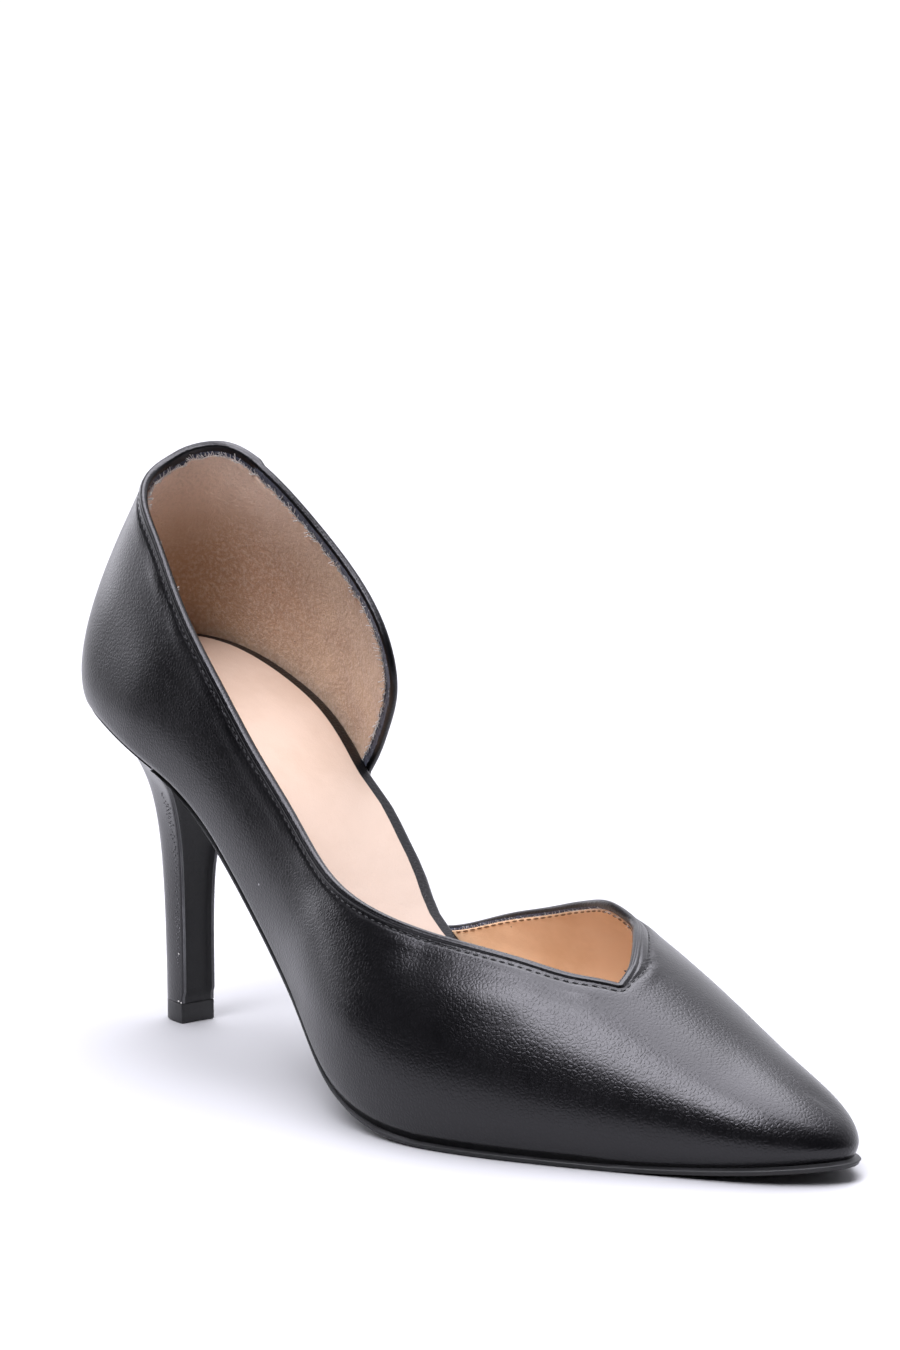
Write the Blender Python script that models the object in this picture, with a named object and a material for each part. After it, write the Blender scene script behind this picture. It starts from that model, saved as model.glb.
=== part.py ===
import math

import bpy
import numpy as np

# A right-foot stiletto pump with a pointed toe, open along the inner side of the arch.
# Sizes are in metres. While the pieces are shaped the back of the heel seat is near x = 0,
# the toe points along +x, the inner side of the foot is +y and the floor is z = 0.

# Clearances and sheet thicknesses.
GAP = 0.0003
WALL = 0.0018
OUTSOLE_SHEET = 0.0025
SOCK_SHEET = 0.0012
TREAD_HEIGHT = OUTSOLE_SHEET + GAP

# How far pieces are set in from the edge of the last's bottom.
BOARD_TOE_SETBACK = 0.0045
BOARD_FIT = 0.0006
BOARD_OVERHANG = 0.0006
SOCK_INSET = 0.0026

# Heel.
LIFT_HEIGHT = 0.0046
BREAST_X = 0.0440
HEEL_INSET = 0.0006

# Openings, as stations along the side: 0 at the toe, 1 at the back of the heel.
THROAT = 0.220
WING_END = 0.576
COUNTER_END = 0.708

# Wall rows, wall columns along each stretch of the wall, and the grid of the flat sheets.
WALL_ROWS = 12
VAMP_COLUMNS = 20
RIM_COLUMNS = 54
WING_COLUMNS = 14
PLATE_ROWS = 44
PLATE_COLUMNS = 6

# The last's bottom along its length: height of the feather edge and thickness of the board on it.
SOLE_CURVE_COLUMNS = ("x", "height", "board")
SOLE_CURVE = np.array([
    (-0.004, 0.0740, 0.0106),
    (0.010, 0.0724, 0.0105),
    (0.024, 0.0692, 0.0104),
    (0.039, 0.0640, 0.0099),
    (0.049, 0.0604, 0.0090),
    (0.058, 0.0560, 0.0077),
    (0.066, 0.0505, 0.0065),
    (0.074, 0.0434, 0.0057),
    (0.082, 0.0359, 0.0052),
    (0.090, 0.0287, 0.0048),
    (0.098, 0.0223, 0.0044),
    (0.106, 0.0165, 0.0040),
    (0.114, 0.0115, 0.0036),
    (0.124, 0.0068, 0.0033),
    (0.134, 0.0041, 0.0032),
    (0.146, 0.0028, 0.0030),
    (0.162, 0.0026, 0.0030),
    (0.180, 0.0027, 0.0030),
    (0.200, 0.0036, 0.0030),
    (0.228, 0.0066, 0.0030),
])

# Sections of the last from toe to heel back: bottom edge on the outer and inner side, the throat line
# in which the two sides meet above, how far the outsole is set in under the edge, and its bevel.
LAST_COLUMNS = ("station", "lat_x", "lat_y", "med_x", "med_y", "top_x", "top_y", "top_z", "sole_in", "bevel")
LAST = np.array([
    (0.000, 0.2216, 0.0130, 0.2216, 0.0130, 0.2120, 0.0125, 0.0155, -0.0006, 0.0003),
    (0.035, 0.2178, 0.0050, 0.2181, 0.0192, 0.2083, 0.0105, 0.0175, -0.0005, 0.0003),
    (0.120, 0.1992, -0.0090, 0.1988, 0.0280, 0.1948, 0.0035, 0.0238, -0.0002, 0.0003),
    (0.240, 0.1720, -0.0243, 0.1720, 0.0364, 0.1700, -0.0065, 0.0368, 0.0000, 0.0003),
    (0.360, 0.1450, -0.0347, 0.1460, 0.0375, 0.1490, -0.0150, 0.0450, 0.0000, 0.0003),
    (0.480, 0.1165, -0.0340, 0.1175, 0.0268, 0.1270, -0.0190, 0.0570, 0.0003, 0.0010),
    (0.560, 0.0975, -0.0277, 0.0980, 0.0202, 0.1120, -0.0170, 0.0740, 0.0004, 0.0026),
    (0.640, 0.0785, -0.0248, 0.0785, 0.0202, 0.0980, -0.0120, 0.0970, 0.0004, 0.0030),
    (0.760, 0.0495, -0.0242, 0.0495, 0.0235, 0.0740, -0.0040, 0.1290, 0.0004, 0.0030),
    (0.880, 0.0232, -0.0220, 0.0232, 0.0218, 0.0495, 0.0000, 0.1480, 0.0004, 0.0030),
    (0.950, 0.0088, -0.0136, 0.0088, 0.0135, 0.0355, 0.0000, 0.1490, 0.0004, 0.0030),
    (1.000, 0.0036, 0.0000, 0.0036, 0.0000, 0.0310, 0.0000, 0.1490, 0.0004, 0.0030),
])

# How each section is rounded: the fan angle in which it leaves the throat line, the cross slope there,
# the outward and upward pull at the bottom edge, the pull along the top on the outer and the inner
# side, and the fall of the top pull.
PULL_COLUMNS = ("station", "fan", "tilt", "out", "rise", "flat_lat", "flat_med", "drop")
PULL = np.array([
    (0.000, 0.0, 0.00, 0.0000, 0.0045, 0.0055, 0.0055, 0.000),
    (0.035, 40.0, 0.12, 0.0010, 0.0065, 0.0055, 0.0070, 0.000),
    (0.120, 80.0, 0.32, 0.0025, 0.0115, 0.0080, 0.0155, 0.000),
    (0.240, 90.0, 0.46, 0.0040, 0.0170, 0.0100, 0.0250, 0.000),
    (0.360, 90.0, 0.55, 0.0045, 0.0210, 0.0110, 0.0330, 0.000),
    (0.480, 90.0, 0.45, 0.0035, 0.0195, 0.0110, 0.0330, 0.004),
    (0.560, 90.0, 0.35, 0.0022, 0.0170, 0.0120, 0.0310, 0.008),
    (0.640, 90.0, 0.20, 0.0022, 0.0155, 0.0140, 0.0290, 0.012),
    (0.760, 95.0, 0.00, 0.0040, 0.0150, 0.0170, 0.0270, 0.018),
    (0.880, 118.0, 0.00, 0.0054, 0.0140, 0.0175, 0.0195, 0.026),
    (0.950, 140.0, 0.00, 0.0062, 0.0130, 0.0168, 0.0180, 0.030),
    (1.000, 180.0, 0.00, 0.0064, 0.0125, 0.0095, 0.0095, 0.031),
])

# Edges of the wall's openings: place of the wall's bottom, place of the edge and its share of the way
# up the section. The rim runs from the front end of the counter round the heel, where the turn is -1,
# and forward along the outer side to the throat. The wing runs from the throat back to the board.
EDGE_COLUMNS = ("foot", "turn", "share")
RIM = np.array([
    (-1.292, -1.290, 0.065),
    (-1.281, -1.296, 0.160),
    (-1.266, -1.299, 0.265),
    (-1.244, -1.299, 0.395),
    (-1.216, -1.281, 0.495),
    (-1.181, -1.247, 0.555),
    (-1.146, -1.203, 0.602),
    (-1.111, -1.160, 0.653),
    (-1.076, -1.108, 0.728),
    (-1.035, -1.055, 0.778),
    (-1.000, -1.000, 0.755),
    (-0.955, -0.955, 0.712),
    (-0.900, -0.900, 0.620),
    (-0.840, -0.840, 0.542),
    (-0.780, -0.780, 0.488),
    (-0.720, -0.720, 0.460),
    (-0.660, -0.660, 0.466),
    (-0.600, -0.600, 0.520),
    (-0.540, -0.540, 0.580),
    (-0.480, -0.480, 0.674),
    (-0.420, -0.420, 0.756),
    (-0.360, -0.360, 0.813),
    (-0.300, -0.300, 0.852),
    (-0.250, -0.250, 0.910),
    (-0.220, -0.220, 1.000),
])
WING = np.array([
    (0.220, 0.220, 1.000),
    (0.248, 0.223, 0.925),
    (0.291, 0.236, 0.798),
    (0.327, 0.260, 0.720),
    (0.362, 0.298, 0.645),
    (0.398, 0.346, 0.598),
    (0.441, 0.405, 0.524),
    (0.476, 0.443, 0.468),
    (0.515, 0.499, 0.354),
    (0.548, 0.543, 0.218),
    (0.576, 0.583, 0.055),
])

# Heel block from its tip to the seat: share of the height, back, breast and half width.
HEEL_COLUMNS = ("share", "back_x", "breast_x", "half")
HEEL = np.array([
    (0.00, 0.0202, 0.0292, 0.0044),
    (0.20, 0.0198, 0.0292, 0.0044),
    (0.45, 0.0188, 0.0293, 0.0047),
    (0.62, 0.0172, 0.0300, 0.0057),
    (0.76, 0.0140, 0.0316, 0.0080),
    (0.88, 0.0085, 0.0350, 0.0126),
    (1.00, 0.0042, 0.0440, 0.0234),
])
HEEL_RINGS = 22
HEEL_SIDE_POINTS = 14


# Natural cubic curve through the rows, read at the given places.
def spline(knots, rows, at):
    knots = np.asarray(knots, float)
    rows = np.asarray(rows, float).reshape(len(knots), -1)
    count = len(knots)
    step = np.diff(knots)
    left = np.zeros((count, count))
    right = np.zeros((count, rows.shape[1]))
    left[0, 0] = 1.0
    left[-1, -1] = 1.0
    for i in range(1, count - 1):
        left[i, i - 1] = step[i - 1]
        left[i, i] = 2.0 * (step[i - 1] + step[i])
        left[i, i + 1] = step[i]
        right[i] = 6.0 * ((rows[i + 1] - rows[i]) / step[i] - (rows[i] - rows[i - 1]) / step[i - 1])
    bend = np.linalg.solve(left, right)
    place = np.asarray(at, float).ravel()
    i = np.clip(np.searchsorted(knots, place, side="right") - 1, 0, count - 2)
    a = ((knots[i + 1] - place) / step[i])[:, None]
    b = ((place - knots[i]) / step[i])[:, None]
    h = step[i][:, None]
    value = a * rows[i] + b * rows[i + 1]
    value = value + ((a ** 3 - a) * bend[i] + (b ** 3 - b) * bend[i + 1]) * h * h / 6.0
    return value.reshape(np.shape(at) + (rows.shape[1],))


# Closed curve round the shoe: -1 heel back, negative outer side, 0 toe, positive inner side.
def looped(rows_lat, rows_med, at):
    station = LAST[:, 0]
    knots = np.concatenate([-station[::-1], station[1:-1]])
    rows = np.concatenate([rows_lat[::-1], rows_med[1:-1]])
    knots = np.concatenate([knots[-4:] - 2.0, knots, knots[:4] + 2.0])
    rows = np.concatenate([rows[-4:], rows, rows[:4]])
    turn = (np.asarray(at, float) + 1.0) % 2.0 - 1.0
    return spline(knots, rows, turn)


def last_columns(*names):
    return np.stack([LAST[:, LAST_COLUMNS.index(name)] for name in names], axis=1)


def pull_columns(*names):
    return np.stack([PULL[:, PULL_COLUMNS.index(name)] for name in names], axis=1)


def sole_height(x):
    raw = spline(SOLE_CURVE[:, 0], SOLE_CURVE[:, 1], x)[..., 0]
    return np.maximum(raw, TREAD_HEIGHT)


def board_top(x):
    return sole_height(x) + spline(SOLE_CURVE[:, 0], SOLE_CURVE[:, 2], x)[..., 0]


def sock_under(x):
    return board_top(x) + GAP


def sock_top(x):
    return sock_under(x) + SOCK_SHEET


def outsole_top(x):
    return sole_height(x) - GAP


def outsole_under(x):
    return outsole_top(x) - OUTSOLE_SHEET


def bottom_edge(turn):
    return looped(last_columns("lat_x", "lat_y"), last_columns("med_x", "med_y"), turn)


def edge_normal(turn):
    ahead = bottom_edge(np.asarray(turn) + 0.0005) - bottom_edge(np.asarray(turn) - 0.0005)
    ahead = ahead / np.linalg.norm(ahead, axis=-1, keepdims=True)
    return np.stack([-ahead[..., 1], ahead[..., 0]], axis=-1) * -1.0


def cone(turn):
    rows = last_columns("top_x", "top_y", "top_z")
    return looped(rows, rows, turn)


def fan_angle(turn):
    station = LAST[:, 0]
    fan = pull_columns("fan")[:, 0]
    knots = np.concatenate([-station[::-1], station[1:]])
    angle = np.concatenate([-fan[::-1], fan[1:]])
    turn = (np.asarray(turn, float) + 1.0) % 2.0 - 1.0
    return np.radians(spline(knots, angle, turn)[..., 0])


# Outer face of the upper at a place round the shoe and a share of the way up its section.
def skin(turn, share):
    turn = (np.asarray(turn, float) + 1.0) % 2.0 - 1.0
    share = np.asarray(share, float)[..., None]
    foot = bottom_edge(turn)
    foot = np.concatenate([foot, sole_height(foot[..., :1])], axis=-1)
    pull = looped(pull_columns("out", "rise", "flat_lat", "drop", "tilt"),
                  pull_columns("out", "rise", "flat_med", "drop", "tilt"), turn)
    out, rise, flat, drop, tilt = [pull[..., k] for k in range(5)]
    low = foot.copy()
    low[..., :2] += edge_normal(turn) * out[..., None]
    low[..., 2] += rise
    top = cone(turn)
    station = np.abs(turn)
    ahead = cone(np.maximum(station - 0.015, 0.0)) - cone(np.minimum(station + 0.015, 1.0))
    run = np.linalg.norm(ahead[..., :2], axis=-1)
    front = ahead[..., :2] / run[..., None]
    across = np.stack([-front[..., 1], front[..., 0]], axis=-1)
    angle = fan_angle(turn)
    forward = flat * np.cos(angle)
    sideways = flat * np.sin(angle)
    slope = np.where(station < 0.45, ahead[..., 2] / run, 0.0)
    high = top.copy()
    high[..., :2] += forward[..., None] * front + sideways[..., None] * across
    high[..., 2] += forward * slope + sideways * tilt - drop
    rest = 1.0 - share
    return rest ** 3 * foot + 3 * rest ** 2 * share * low + 3 * rest * share ** 2 * high + share ** 3 * top


def skin_normal(turn, share):
    turn = np.asarray(turn, float)
    share = np.asarray(share, float)
    along = skin(turn + 0.0008, share) - skin(turn - 0.0008, share)
    up = skin(turn, np.minimum(share + 0.004, 1.0)) - skin(turn, np.maximum(share - 0.004, 0.0))
    normal = np.cross(along, up)
    return normal / np.linalg.norm(normal, axis=-1, keepdims=True)


# Columns of the wall in walking order: bottom place, edge place and edge share of each.
def wall_columns():
    lean = np.linspace(0.0, 1.0, VAMP_COLUMNS + 1)
    vamp = THROAT * (0.35 * lean + 0.65 * lean * lean)
    rim = np.linspace(RIM[0, 0], RIM[-1, 0], RIM_COLUMNS + 1)[:-1]
    wing = np.linspace(WING[0, 0], WING[-1, 0], WING_COLUMNS + 1)[1:]
    middle = np.concatenate([-vamp[::-1], vamp[1:]])
    ridge = np.ones(len(middle))
    return np.concatenate([
        np.column_stack([rim, spline(RIM[:, 0], RIM[:, 1:], rim)]),
        np.column_stack([middle, middle, ridge]),
        np.column_stack([wing, spline(WING[:, 0], WING[:, 1:], wing)]),
    ])


def make_object(name, points, faces, material):
    mesh = bpy.data.meshes.new(name)
    mesh.from_pydata([tuple(float(c) for c in p) for p in points], [], faces)
    mesh.update()
    mesh.materials.append(material)
    piece = bpy.data.objects.new(name, mesh)
    bpy.context.scene.collection.objects.link(piece)
    return piece


# Solid between a sheet and its inner copy, closed along the sheet's open edges.
def close_shell(points, inner, faces):
    count = len(points)
    used = {}
    for face in faces:
        for a, b in zip(face, face[1:] + face[:1]):
            used[(a, b)] = True
    solid = list(faces)
    solid += [[v + count for v in reversed(face)] for face in faces]
    for a, b in used:
        if (b, a) not in used:
            solid.append([b, a, a + count, b + count])
    return np.concatenate([points, inner]), solid


def upper_shell():
    columns = wall_columns()
    rows = np.linspace(0.0, 1.0, WALL_ROWS + 1)
    foot = columns[:, :1]
    edge = columns[:, 1:2]
    reach = columns[:, 2:]
    turn = foot + (edge - foot) * rows[None, :]
    share = reach * rows[None, :]
    outer = skin(turn, share)
    normal = skin_normal(turn, share)
    level = normal[:, 0].copy()
    level[:, 2] = 0.0
    normal[:, 0] = level / np.linalg.norm(level, axis=-1, keepdims=True)
    toe = RIM_COLUMNS + VAMP_COLUMNS
    index = np.arange(len(columns) * (WALL_ROWS + 1)).reshape(len(columns), WALL_ROWS + 1)
    for i in range(1, VAMP_COLUMNS + 1):
        joined = normal[toe + i, -1] + normal[toe - i, -1]
        normal[toe - i, -1] = joined / np.linalg.norm(joined)
        index[toe + i, -1] = index[toe - i, -1]
    faces = []
    for c in range(len(columns) - 1):
        for r in range(WALL_ROWS):
            corners = (index[c, r], index[c + 1, r], index[c + 1, r + 1], index[c, r + 1])
            faces.append([int(v) for v in corners])
    points = outer.reshape(-1, 3)
    inner = (outer - normal * WALL).reshape(-1, 3)
    keep = np.unique(np.array(faces))
    order = {int(v): i for i, v in enumerate(keep)}
    faces = [[order[v] for v in face] for face in faces]
    return close_shell(points[keep], inner[keep], faces)


def ease(value, low, high):
    share = np.clip((np.asarray(value, float) - low) / (high - low), 0.0, 1.0)
    return share * share * (3.0 - 2.0 * share)


def inset_edge(turn, inset):
    return bottom_edge(turn) - edge_normal(turn) * inset[:, None]


# 1 where the inner side has no wall, 0 inside the wing and the counter.
def cut_out(turn):
    past_wing = ease(turn, WING_END + 0.003, WING_END + 0.05)
    return past_wing * (1.0 - ease(turn, COUNTER_END - 0.05, COUNTER_END - 0.003))


def board_low_line(turn):
    inside = WALL + BOARD_FIT + BOARD_TOE_SETBACK * (1.0 - ease(np.abs(turn), 0.0, 0.14))
    return inset_edge(turn, inside - (inside + BOARD_OVERHANG) * cut_out(turn))


# The upper edge of the board follows the lean of the wall beside it.
def board_high_line(turn):
    wall = skin(turn[:, None], np.linspace(0.0, 0.4, 33)[None, :])
    above = wall[..., 2] - board_top(wall[..., 0])
    lean = [[np.interp(0.0, a, w[:, k]) - w[0, k] for k in (0, 1)] for a, w in zip(above, wall)]
    return board_low_line(turn) + np.array(lean) * (1.0 - cut_out(turn))[:, None]


def sock_line(turn):
    return board_high_line(turn) - edge_normal(turn) * SOCK_INSET


def outsole_high_line(turn):
    rows = last_columns("sole_in")
    return inset_edge(turn, looped(rows, rows, turn)[..., 0])


def outsole_low_line(turn):
    rows = last_columns("sole_in") + last_columns("bevel")
    return inset_edge(turn, looped(rows, rows, turn)[..., 0])


def seat_line(turn):
    return inset_edge(turn, np.full(len(turn), HEEL_INSET))


# The outer-side and the inner-side half of a closed line, each from the back to the toe.
def sides(outline):
    line = outline(np.linspace(-1.0, 1.0, 1601))[:-1]
    line = np.roll(line, -int(np.argmin(line[:, 0])), axis=0)
    tip = int(np.argmax(line[:, 0]))
    return line[:tip + 1], np.concatenate([line[tip:], line[:1]])[::-1]


def side_y(line, x):
    return np.interp(x, np.maximum.accumulate(line[:, 0]), line[:, 1])


# Points of a flat grid inside an outline, from x = start or from its own back end to the toe.
def plate_grid(outline, start):
    lateral, medial = sides(outline)
    lean = np.linspace(0.0, 1.0, PLATE_ROWS + 1)
    begin = lateral[0, 0] if start is None else start
    lean = 0.5 - 0.5 * np.cos(math.pi * lean) if start is None else np.sin(0.5 * math.pi * lean)
    rows = []
    for i, x in enumerate(begin + (lateral[-1, 0] - begin) * lean):
        low = side_y(lateral, x)
        high = side_y(medial, x)
        if i == PLATE_ROWS or (i == 0 and start is None):
            rows.append([(x, 0.5 * (low + high))])
        else:
            rows.append([(x, y) for y in np.linspace(low, high, PLATE_COLUMNS + 1)])
    return rows


# Sheet between two outlines, each at its own height.
def plate(low_line, high_line, start, under, over):
    rows = plate_grid(high_line, start)
    high = np.array(sum(rows, []))
    low = np.array(sum(plate_grid(low_line, start), []))
    first = np.cumsum([0] + [len(row) for row in rows])
    faces = []
    for i, (a, b) in enumerate(zip(rows, rows[1:])):
        for k in range(PLATE_COLUMNS):
            near = [first[i] + min(k, len(a) - 1), first[i] + min(k + 1, len(a) - 1)]
            far = [first[i + 1] + min(k + 1, len(b) - 1), first[i + 1] + min(k, len(b) - 1)]
            corners = [near[0]] + far[::-1] + [near[1]]
            faces.append([int(v) for v in dict.fromkeys(corners)])
    top = np.column_stack([high, over(high[:, 0])])
    bottom = np.column_stack([low, under(low[:, 0])])
    return close_shell(top, bottom, faces)


def seat_outline():
    lateral, medial = sides(seat_line)
    lean = np.linspace(0.0, 1.0, HEEL_SIDE_POINTS + 1)
    xs = BREAST_X + (lateral[0, 0] - BREAST_X) * np.sin(0.5 * math.pi * lean)
    return xs, side_y(lateral, xs), side_y(medial, xs)


# One level of the heel block: outer side from breast to back, then inner side back to breast.
def heel_ring(share):
    back, breast, half = spline(HEEL[:, 0], HEEL[:, 1:], share)
    xs, lat, med = seat_outline()
    depth = (BREAST_X - xs) / (BREAST_X - xs[-1])
    middle = 0.5 * (lat + med) * share
    width = (med - lat) / (med[0] - lat[0])
    x = breast - (breast - back) * depth
    low = LIFT_HEIGHT
    z = low + (sole_height(xs) - GAP - low) * share
    left = np.column_stack([x, middle - half * width, z])
    right = np.column_stack([x, middle + half * width, z])
    return np.concatenate([left, right[-2::-1]])


def ring_solid(rings):
    count = len(rings[0])
    points = np.concatenate(rings)
    faces = []
    for level in range(len(rings) - 1):
        low = level * count
        high = low + count
        for k in range(count):
            n = (k + 1) % count
            faces.append([low + k, high + k, high + n, low + n])
    top = (len(rings) - 1) * count
    last = count - 1
    for k in range(count // 2):
        if k + 1 == last - k - 1:
            faces.append([k, k + 1, last - k])
            faces.append([top + k, top + last - k, top + k + 1])
        else:
            faces.append([k, k + 1, last - k - 1, last - k])
            faces.append([top + k, top + last - k, top + last - k - 1, top + k + 1])
    return points, faces


def heel_block():
    return ring_solid([heel_ring(share) for share in np.linspace(0.0, 1.0, HEEL_RINGS + 1)])


def top_piece_block():
    ring = heel_ring(0.0)
    rings = []
    for height in (0.0, LIFT_HEIGHT - GAP):
        level = ring.copy()
        level[:, 2] = height
        rings.append(level)
    return ring_solid(rings)


def shoe_solids():
    return {
        "upper": upper_shell(),
        "insole_board": plate(board_low_line, board_high_line, None, sole_height, board_top),
        "sock": plate(sock_line, sock_line, None, sock_under, sock_top),
        "outsole": plate(outsole_low_line, outsole_high_line, BREAST_X + GAP, outsole_under, outsole_top),
        "heel": heel_block(),
        "top_piece": top_piece_block(),
    }


def make_material(name, colour, roughness):
    material = bpy.data.materials.new(name)
    material.use_nodes = True
    shader = material.node_tree.nodes["Principled BSDF"]
    shader.inputs["Base Color"].default_value = colour + (1.0,)
    shader.inputs["Roughness"].default_value = roughness
    return material


def build():
    for old in list(bpy.data.objects):
        bpy.data.objects.remove(old)
    leather = make_material("upper_leather", (0.012, 0.012, 0.013), 0.42)
    wrap = make_material("board_wrap", (0.014, 0.014, 0.015), 0.5)
    pale = make_material("sock_leather", (0.72, 0.58, 0.51), 0.6)
    sheet = make_material("outsole_sheet", (0.016, 0.016, 0.017), 0.55)
    cover = make_material("heel_wrap", (0.012, 0.012, 0.013), 0.42)
    rubber = make_material("top_piece_plastic", (0.02, 0.02, 0.021), 0.5)
    dress = dict(upper=leather, insole_board=wrap, sock=pale, outsole=sheet, heel=cover, top_piece=rubber)
    solids = shoe_solids()
    every = np.concatenate([points for points, faces in solids.values()])
    low = every.min(axis=0)
    high = every.max(axis=0)
    shift = np.array([0.5 * (low[0] + high[0]), 0.5 * (low[1] + high[1]), low[2]])
    shoe = bpy.data.objects.new("shoe", None)
    bpy.context.scene.collection.objects.link(shoe)
    for name, (points, faces) in solids.items():
        piece = make_object(name, points - shift, faces, dress[name])
        piece.parent = shoe


if __name__ == "__main__":
    build()
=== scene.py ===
import math

import bpy
import numpy as np
from mathutils import Matrix, Vector
from mathutils.kdtree import KDTree


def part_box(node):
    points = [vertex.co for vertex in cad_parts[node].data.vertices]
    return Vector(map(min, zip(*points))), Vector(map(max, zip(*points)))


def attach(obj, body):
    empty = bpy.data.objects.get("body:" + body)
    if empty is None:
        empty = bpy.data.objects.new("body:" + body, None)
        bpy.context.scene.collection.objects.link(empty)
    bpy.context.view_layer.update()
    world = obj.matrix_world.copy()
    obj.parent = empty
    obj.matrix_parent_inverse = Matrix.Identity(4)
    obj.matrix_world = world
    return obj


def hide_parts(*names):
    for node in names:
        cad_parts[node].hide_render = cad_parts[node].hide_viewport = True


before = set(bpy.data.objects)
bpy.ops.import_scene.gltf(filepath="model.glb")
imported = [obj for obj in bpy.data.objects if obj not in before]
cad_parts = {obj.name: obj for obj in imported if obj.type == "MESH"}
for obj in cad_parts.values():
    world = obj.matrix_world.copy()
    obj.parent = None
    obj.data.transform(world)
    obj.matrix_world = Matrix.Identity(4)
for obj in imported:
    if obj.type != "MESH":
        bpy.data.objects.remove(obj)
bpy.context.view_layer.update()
print("frame loaded")

lastSet = dict(
    gap=0.0003,            # clearance between pieces
    wall=0.0018,           # thickness of the upper
    outsoleSheet=0.0025,
    sockSheet=0.0012,
    boardToeSetback=0.0045, boardToeEnd=0.14,
    boardFit=0.0006,
    boardOverhang=0.0006,
    liftHeight=0.0046,     # top piece under the heel
    breastX=0.0440,
    heelInset=0.0006,
    throat=0.220,
    wingEnd=0.576,
    counterEnd=0.708,
    openFrom=0.003, openFull=0.05,      # past the ends of the walls the board comes out into view
    edgeStep=0.0005, turnStep=0.0008, shareStep=0.004, ridgeStep=0.015,     # short steps that give directions
    slopeEnd=0.45,         # sections lean with the throat line up to here
)
treadHeight = lastSet["outsoleSheet"] + lastSet["gap"]

# x, height of the feather edge, thickness of the board
soleRows = np.array([
    (-0.004, 0.0740, 0.0106), (0.010, 0.0724, 0.0105), (0.024, 0.0692, 0.0104), (0.039, 0.0640, 0.0099),
    (0.049, 0.0604, 0.0090), (0.058, 0.0560, 0.0077), (0.066, 0.0505, 0.0065), (0.074, 0.0434, 0.0057),
    (0.082, 0.0359, 0.0052), (0.090, 0.0287, 0.0048), (0.098, 0.0223, 0.0044), (0.106, 0.0165, 0.0040),
    (0.114, 0.0115, 0.0036), (0.124, 0.0068, 0.0033), (0.134, 0.0041, 0.0032), (0.146, 0.0028, 0.0030),
    (0.162, 0.0026, 0.0030), (0.180, 0.0027, 0.0030), (0.200, 0.0036, 0.0030), (0.228, 0.0066, 0.0030),
])

# station, outer edge x y, inner edge x y, throat line x y z, outsole set in, outsole bevel
lastRows = np.array([
    (0.000, 0.2216, 0.0130, 0.2216, 0.0130, 0.2120, 0.0125, 0.0155, -0.0006, 0.0003),
    (0.035, 0.2178, 0.0050, 0.2181, 0.0192, 0.2083, 0.0105, 0.0175, -0.0005, 0.0003),
    (0.120, 0.1992, -0.0090, 0.1988, 0.0280, 0.1948, 0.0035, 0.0238, -0.0002, 0.0003),
    (0.240, 0.1720, -0.0243, 0.1720, 0.0364, 0.1700, -0.0065, 0.0368, 0.0000, 0.0003),
    (0.360, 0.1450, -0.0347, 0.1460, 0.0375, 0.1490, -0.0150, 0.0450, 0.0000, 0.0003),
    (0.480, 0.1165, -0.0340, 0.1175, 0.0268, 0.1270, -0.0190, 0.0570, 0.0003, 0.0010),
    (0.560, 0.0975, -0.0277, 0.0980, 0.0202, 0.1120, -0.0170, 0.0740, 0.0004, 0.0026),
    (0.640, 0.0785, -0.0248, 0.0785, 0.0202, 0.0980, -0.0120, 0.0970, 0.0004, 0.0030),
    (0.760, 0.0495, -0.0242, 0.0495, 0.0235, 0.0740, -0.0040, 0.1290, 0.0004, 0.0030),
    (0.880, 0.0232, -0.0220, 0.0232, 0.0218, 0.0495, 0.0000, 0.1480, 0.0004, 0.0030),
    (0.950, 0.0088, -0.0136, 0.0088, 0.0135, 0.0355, 0.0000, 0.1490, 0.0004, 0.0030),
    (1.000, 0.0036, 0.0000, 0.0036, 0.0000, 0.0310, 0.0000, 0.1490, 0.0004, 0.0030),
])

# station, fan angle, cross slope, outward pull, upward pull, top pull outer, top pull inner, fall of the top pull
pullRows = np.array([
    (0.000, 0.0, 0.00, 0.0000, 0.0045, 0.0055, 0.0055, 0.000),
    (0.035, 40.0, 0.12, 0.0010, 0.0065, 0.0055, 0.0070, 0.000),
    (0.120, 80.0, 0.32, 0.0025, 0.0115, 0.0080, 0.0155, 0.000),
    (0.240, 90.0, 0.46, 0.0040, 0.0170, 0.0100, 0.0250, 0.000),
    (0.360, 90.0, 0.55, 0.0045, 0.0210, 0.0110, 0.0330, 0.000),
    (0.480, 90.0, 0.45, 0.0035, 0.0195, 0.0110, 0.0330, 0.004),
    (0.560, 90.0, 0.35, 0.0022, 0.0170, 0.0120, 0.0310, 0.008),
    (0.640, 90.0, 0.20, 0.0022, 0.0155, 0.0140, 0.0290, 0.012),
    (0.760, 95.0, 0.00, 0.0040, 0.0150, 0.0170, 0.0270, 0.018),
    (0.880, 118.0, 0.00, 0.0054, 0.0140, 0.0175, 0.0195, 0.026),
    (0.950, 140.0, 0.00, 0.0062, 0.0130, 0.0168, 0.0180, 0.030),
    (1.000, 180.0, 0.00, 0.0064, 0.0125, 0.0095, 0.0095, 0.031),
])

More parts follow.
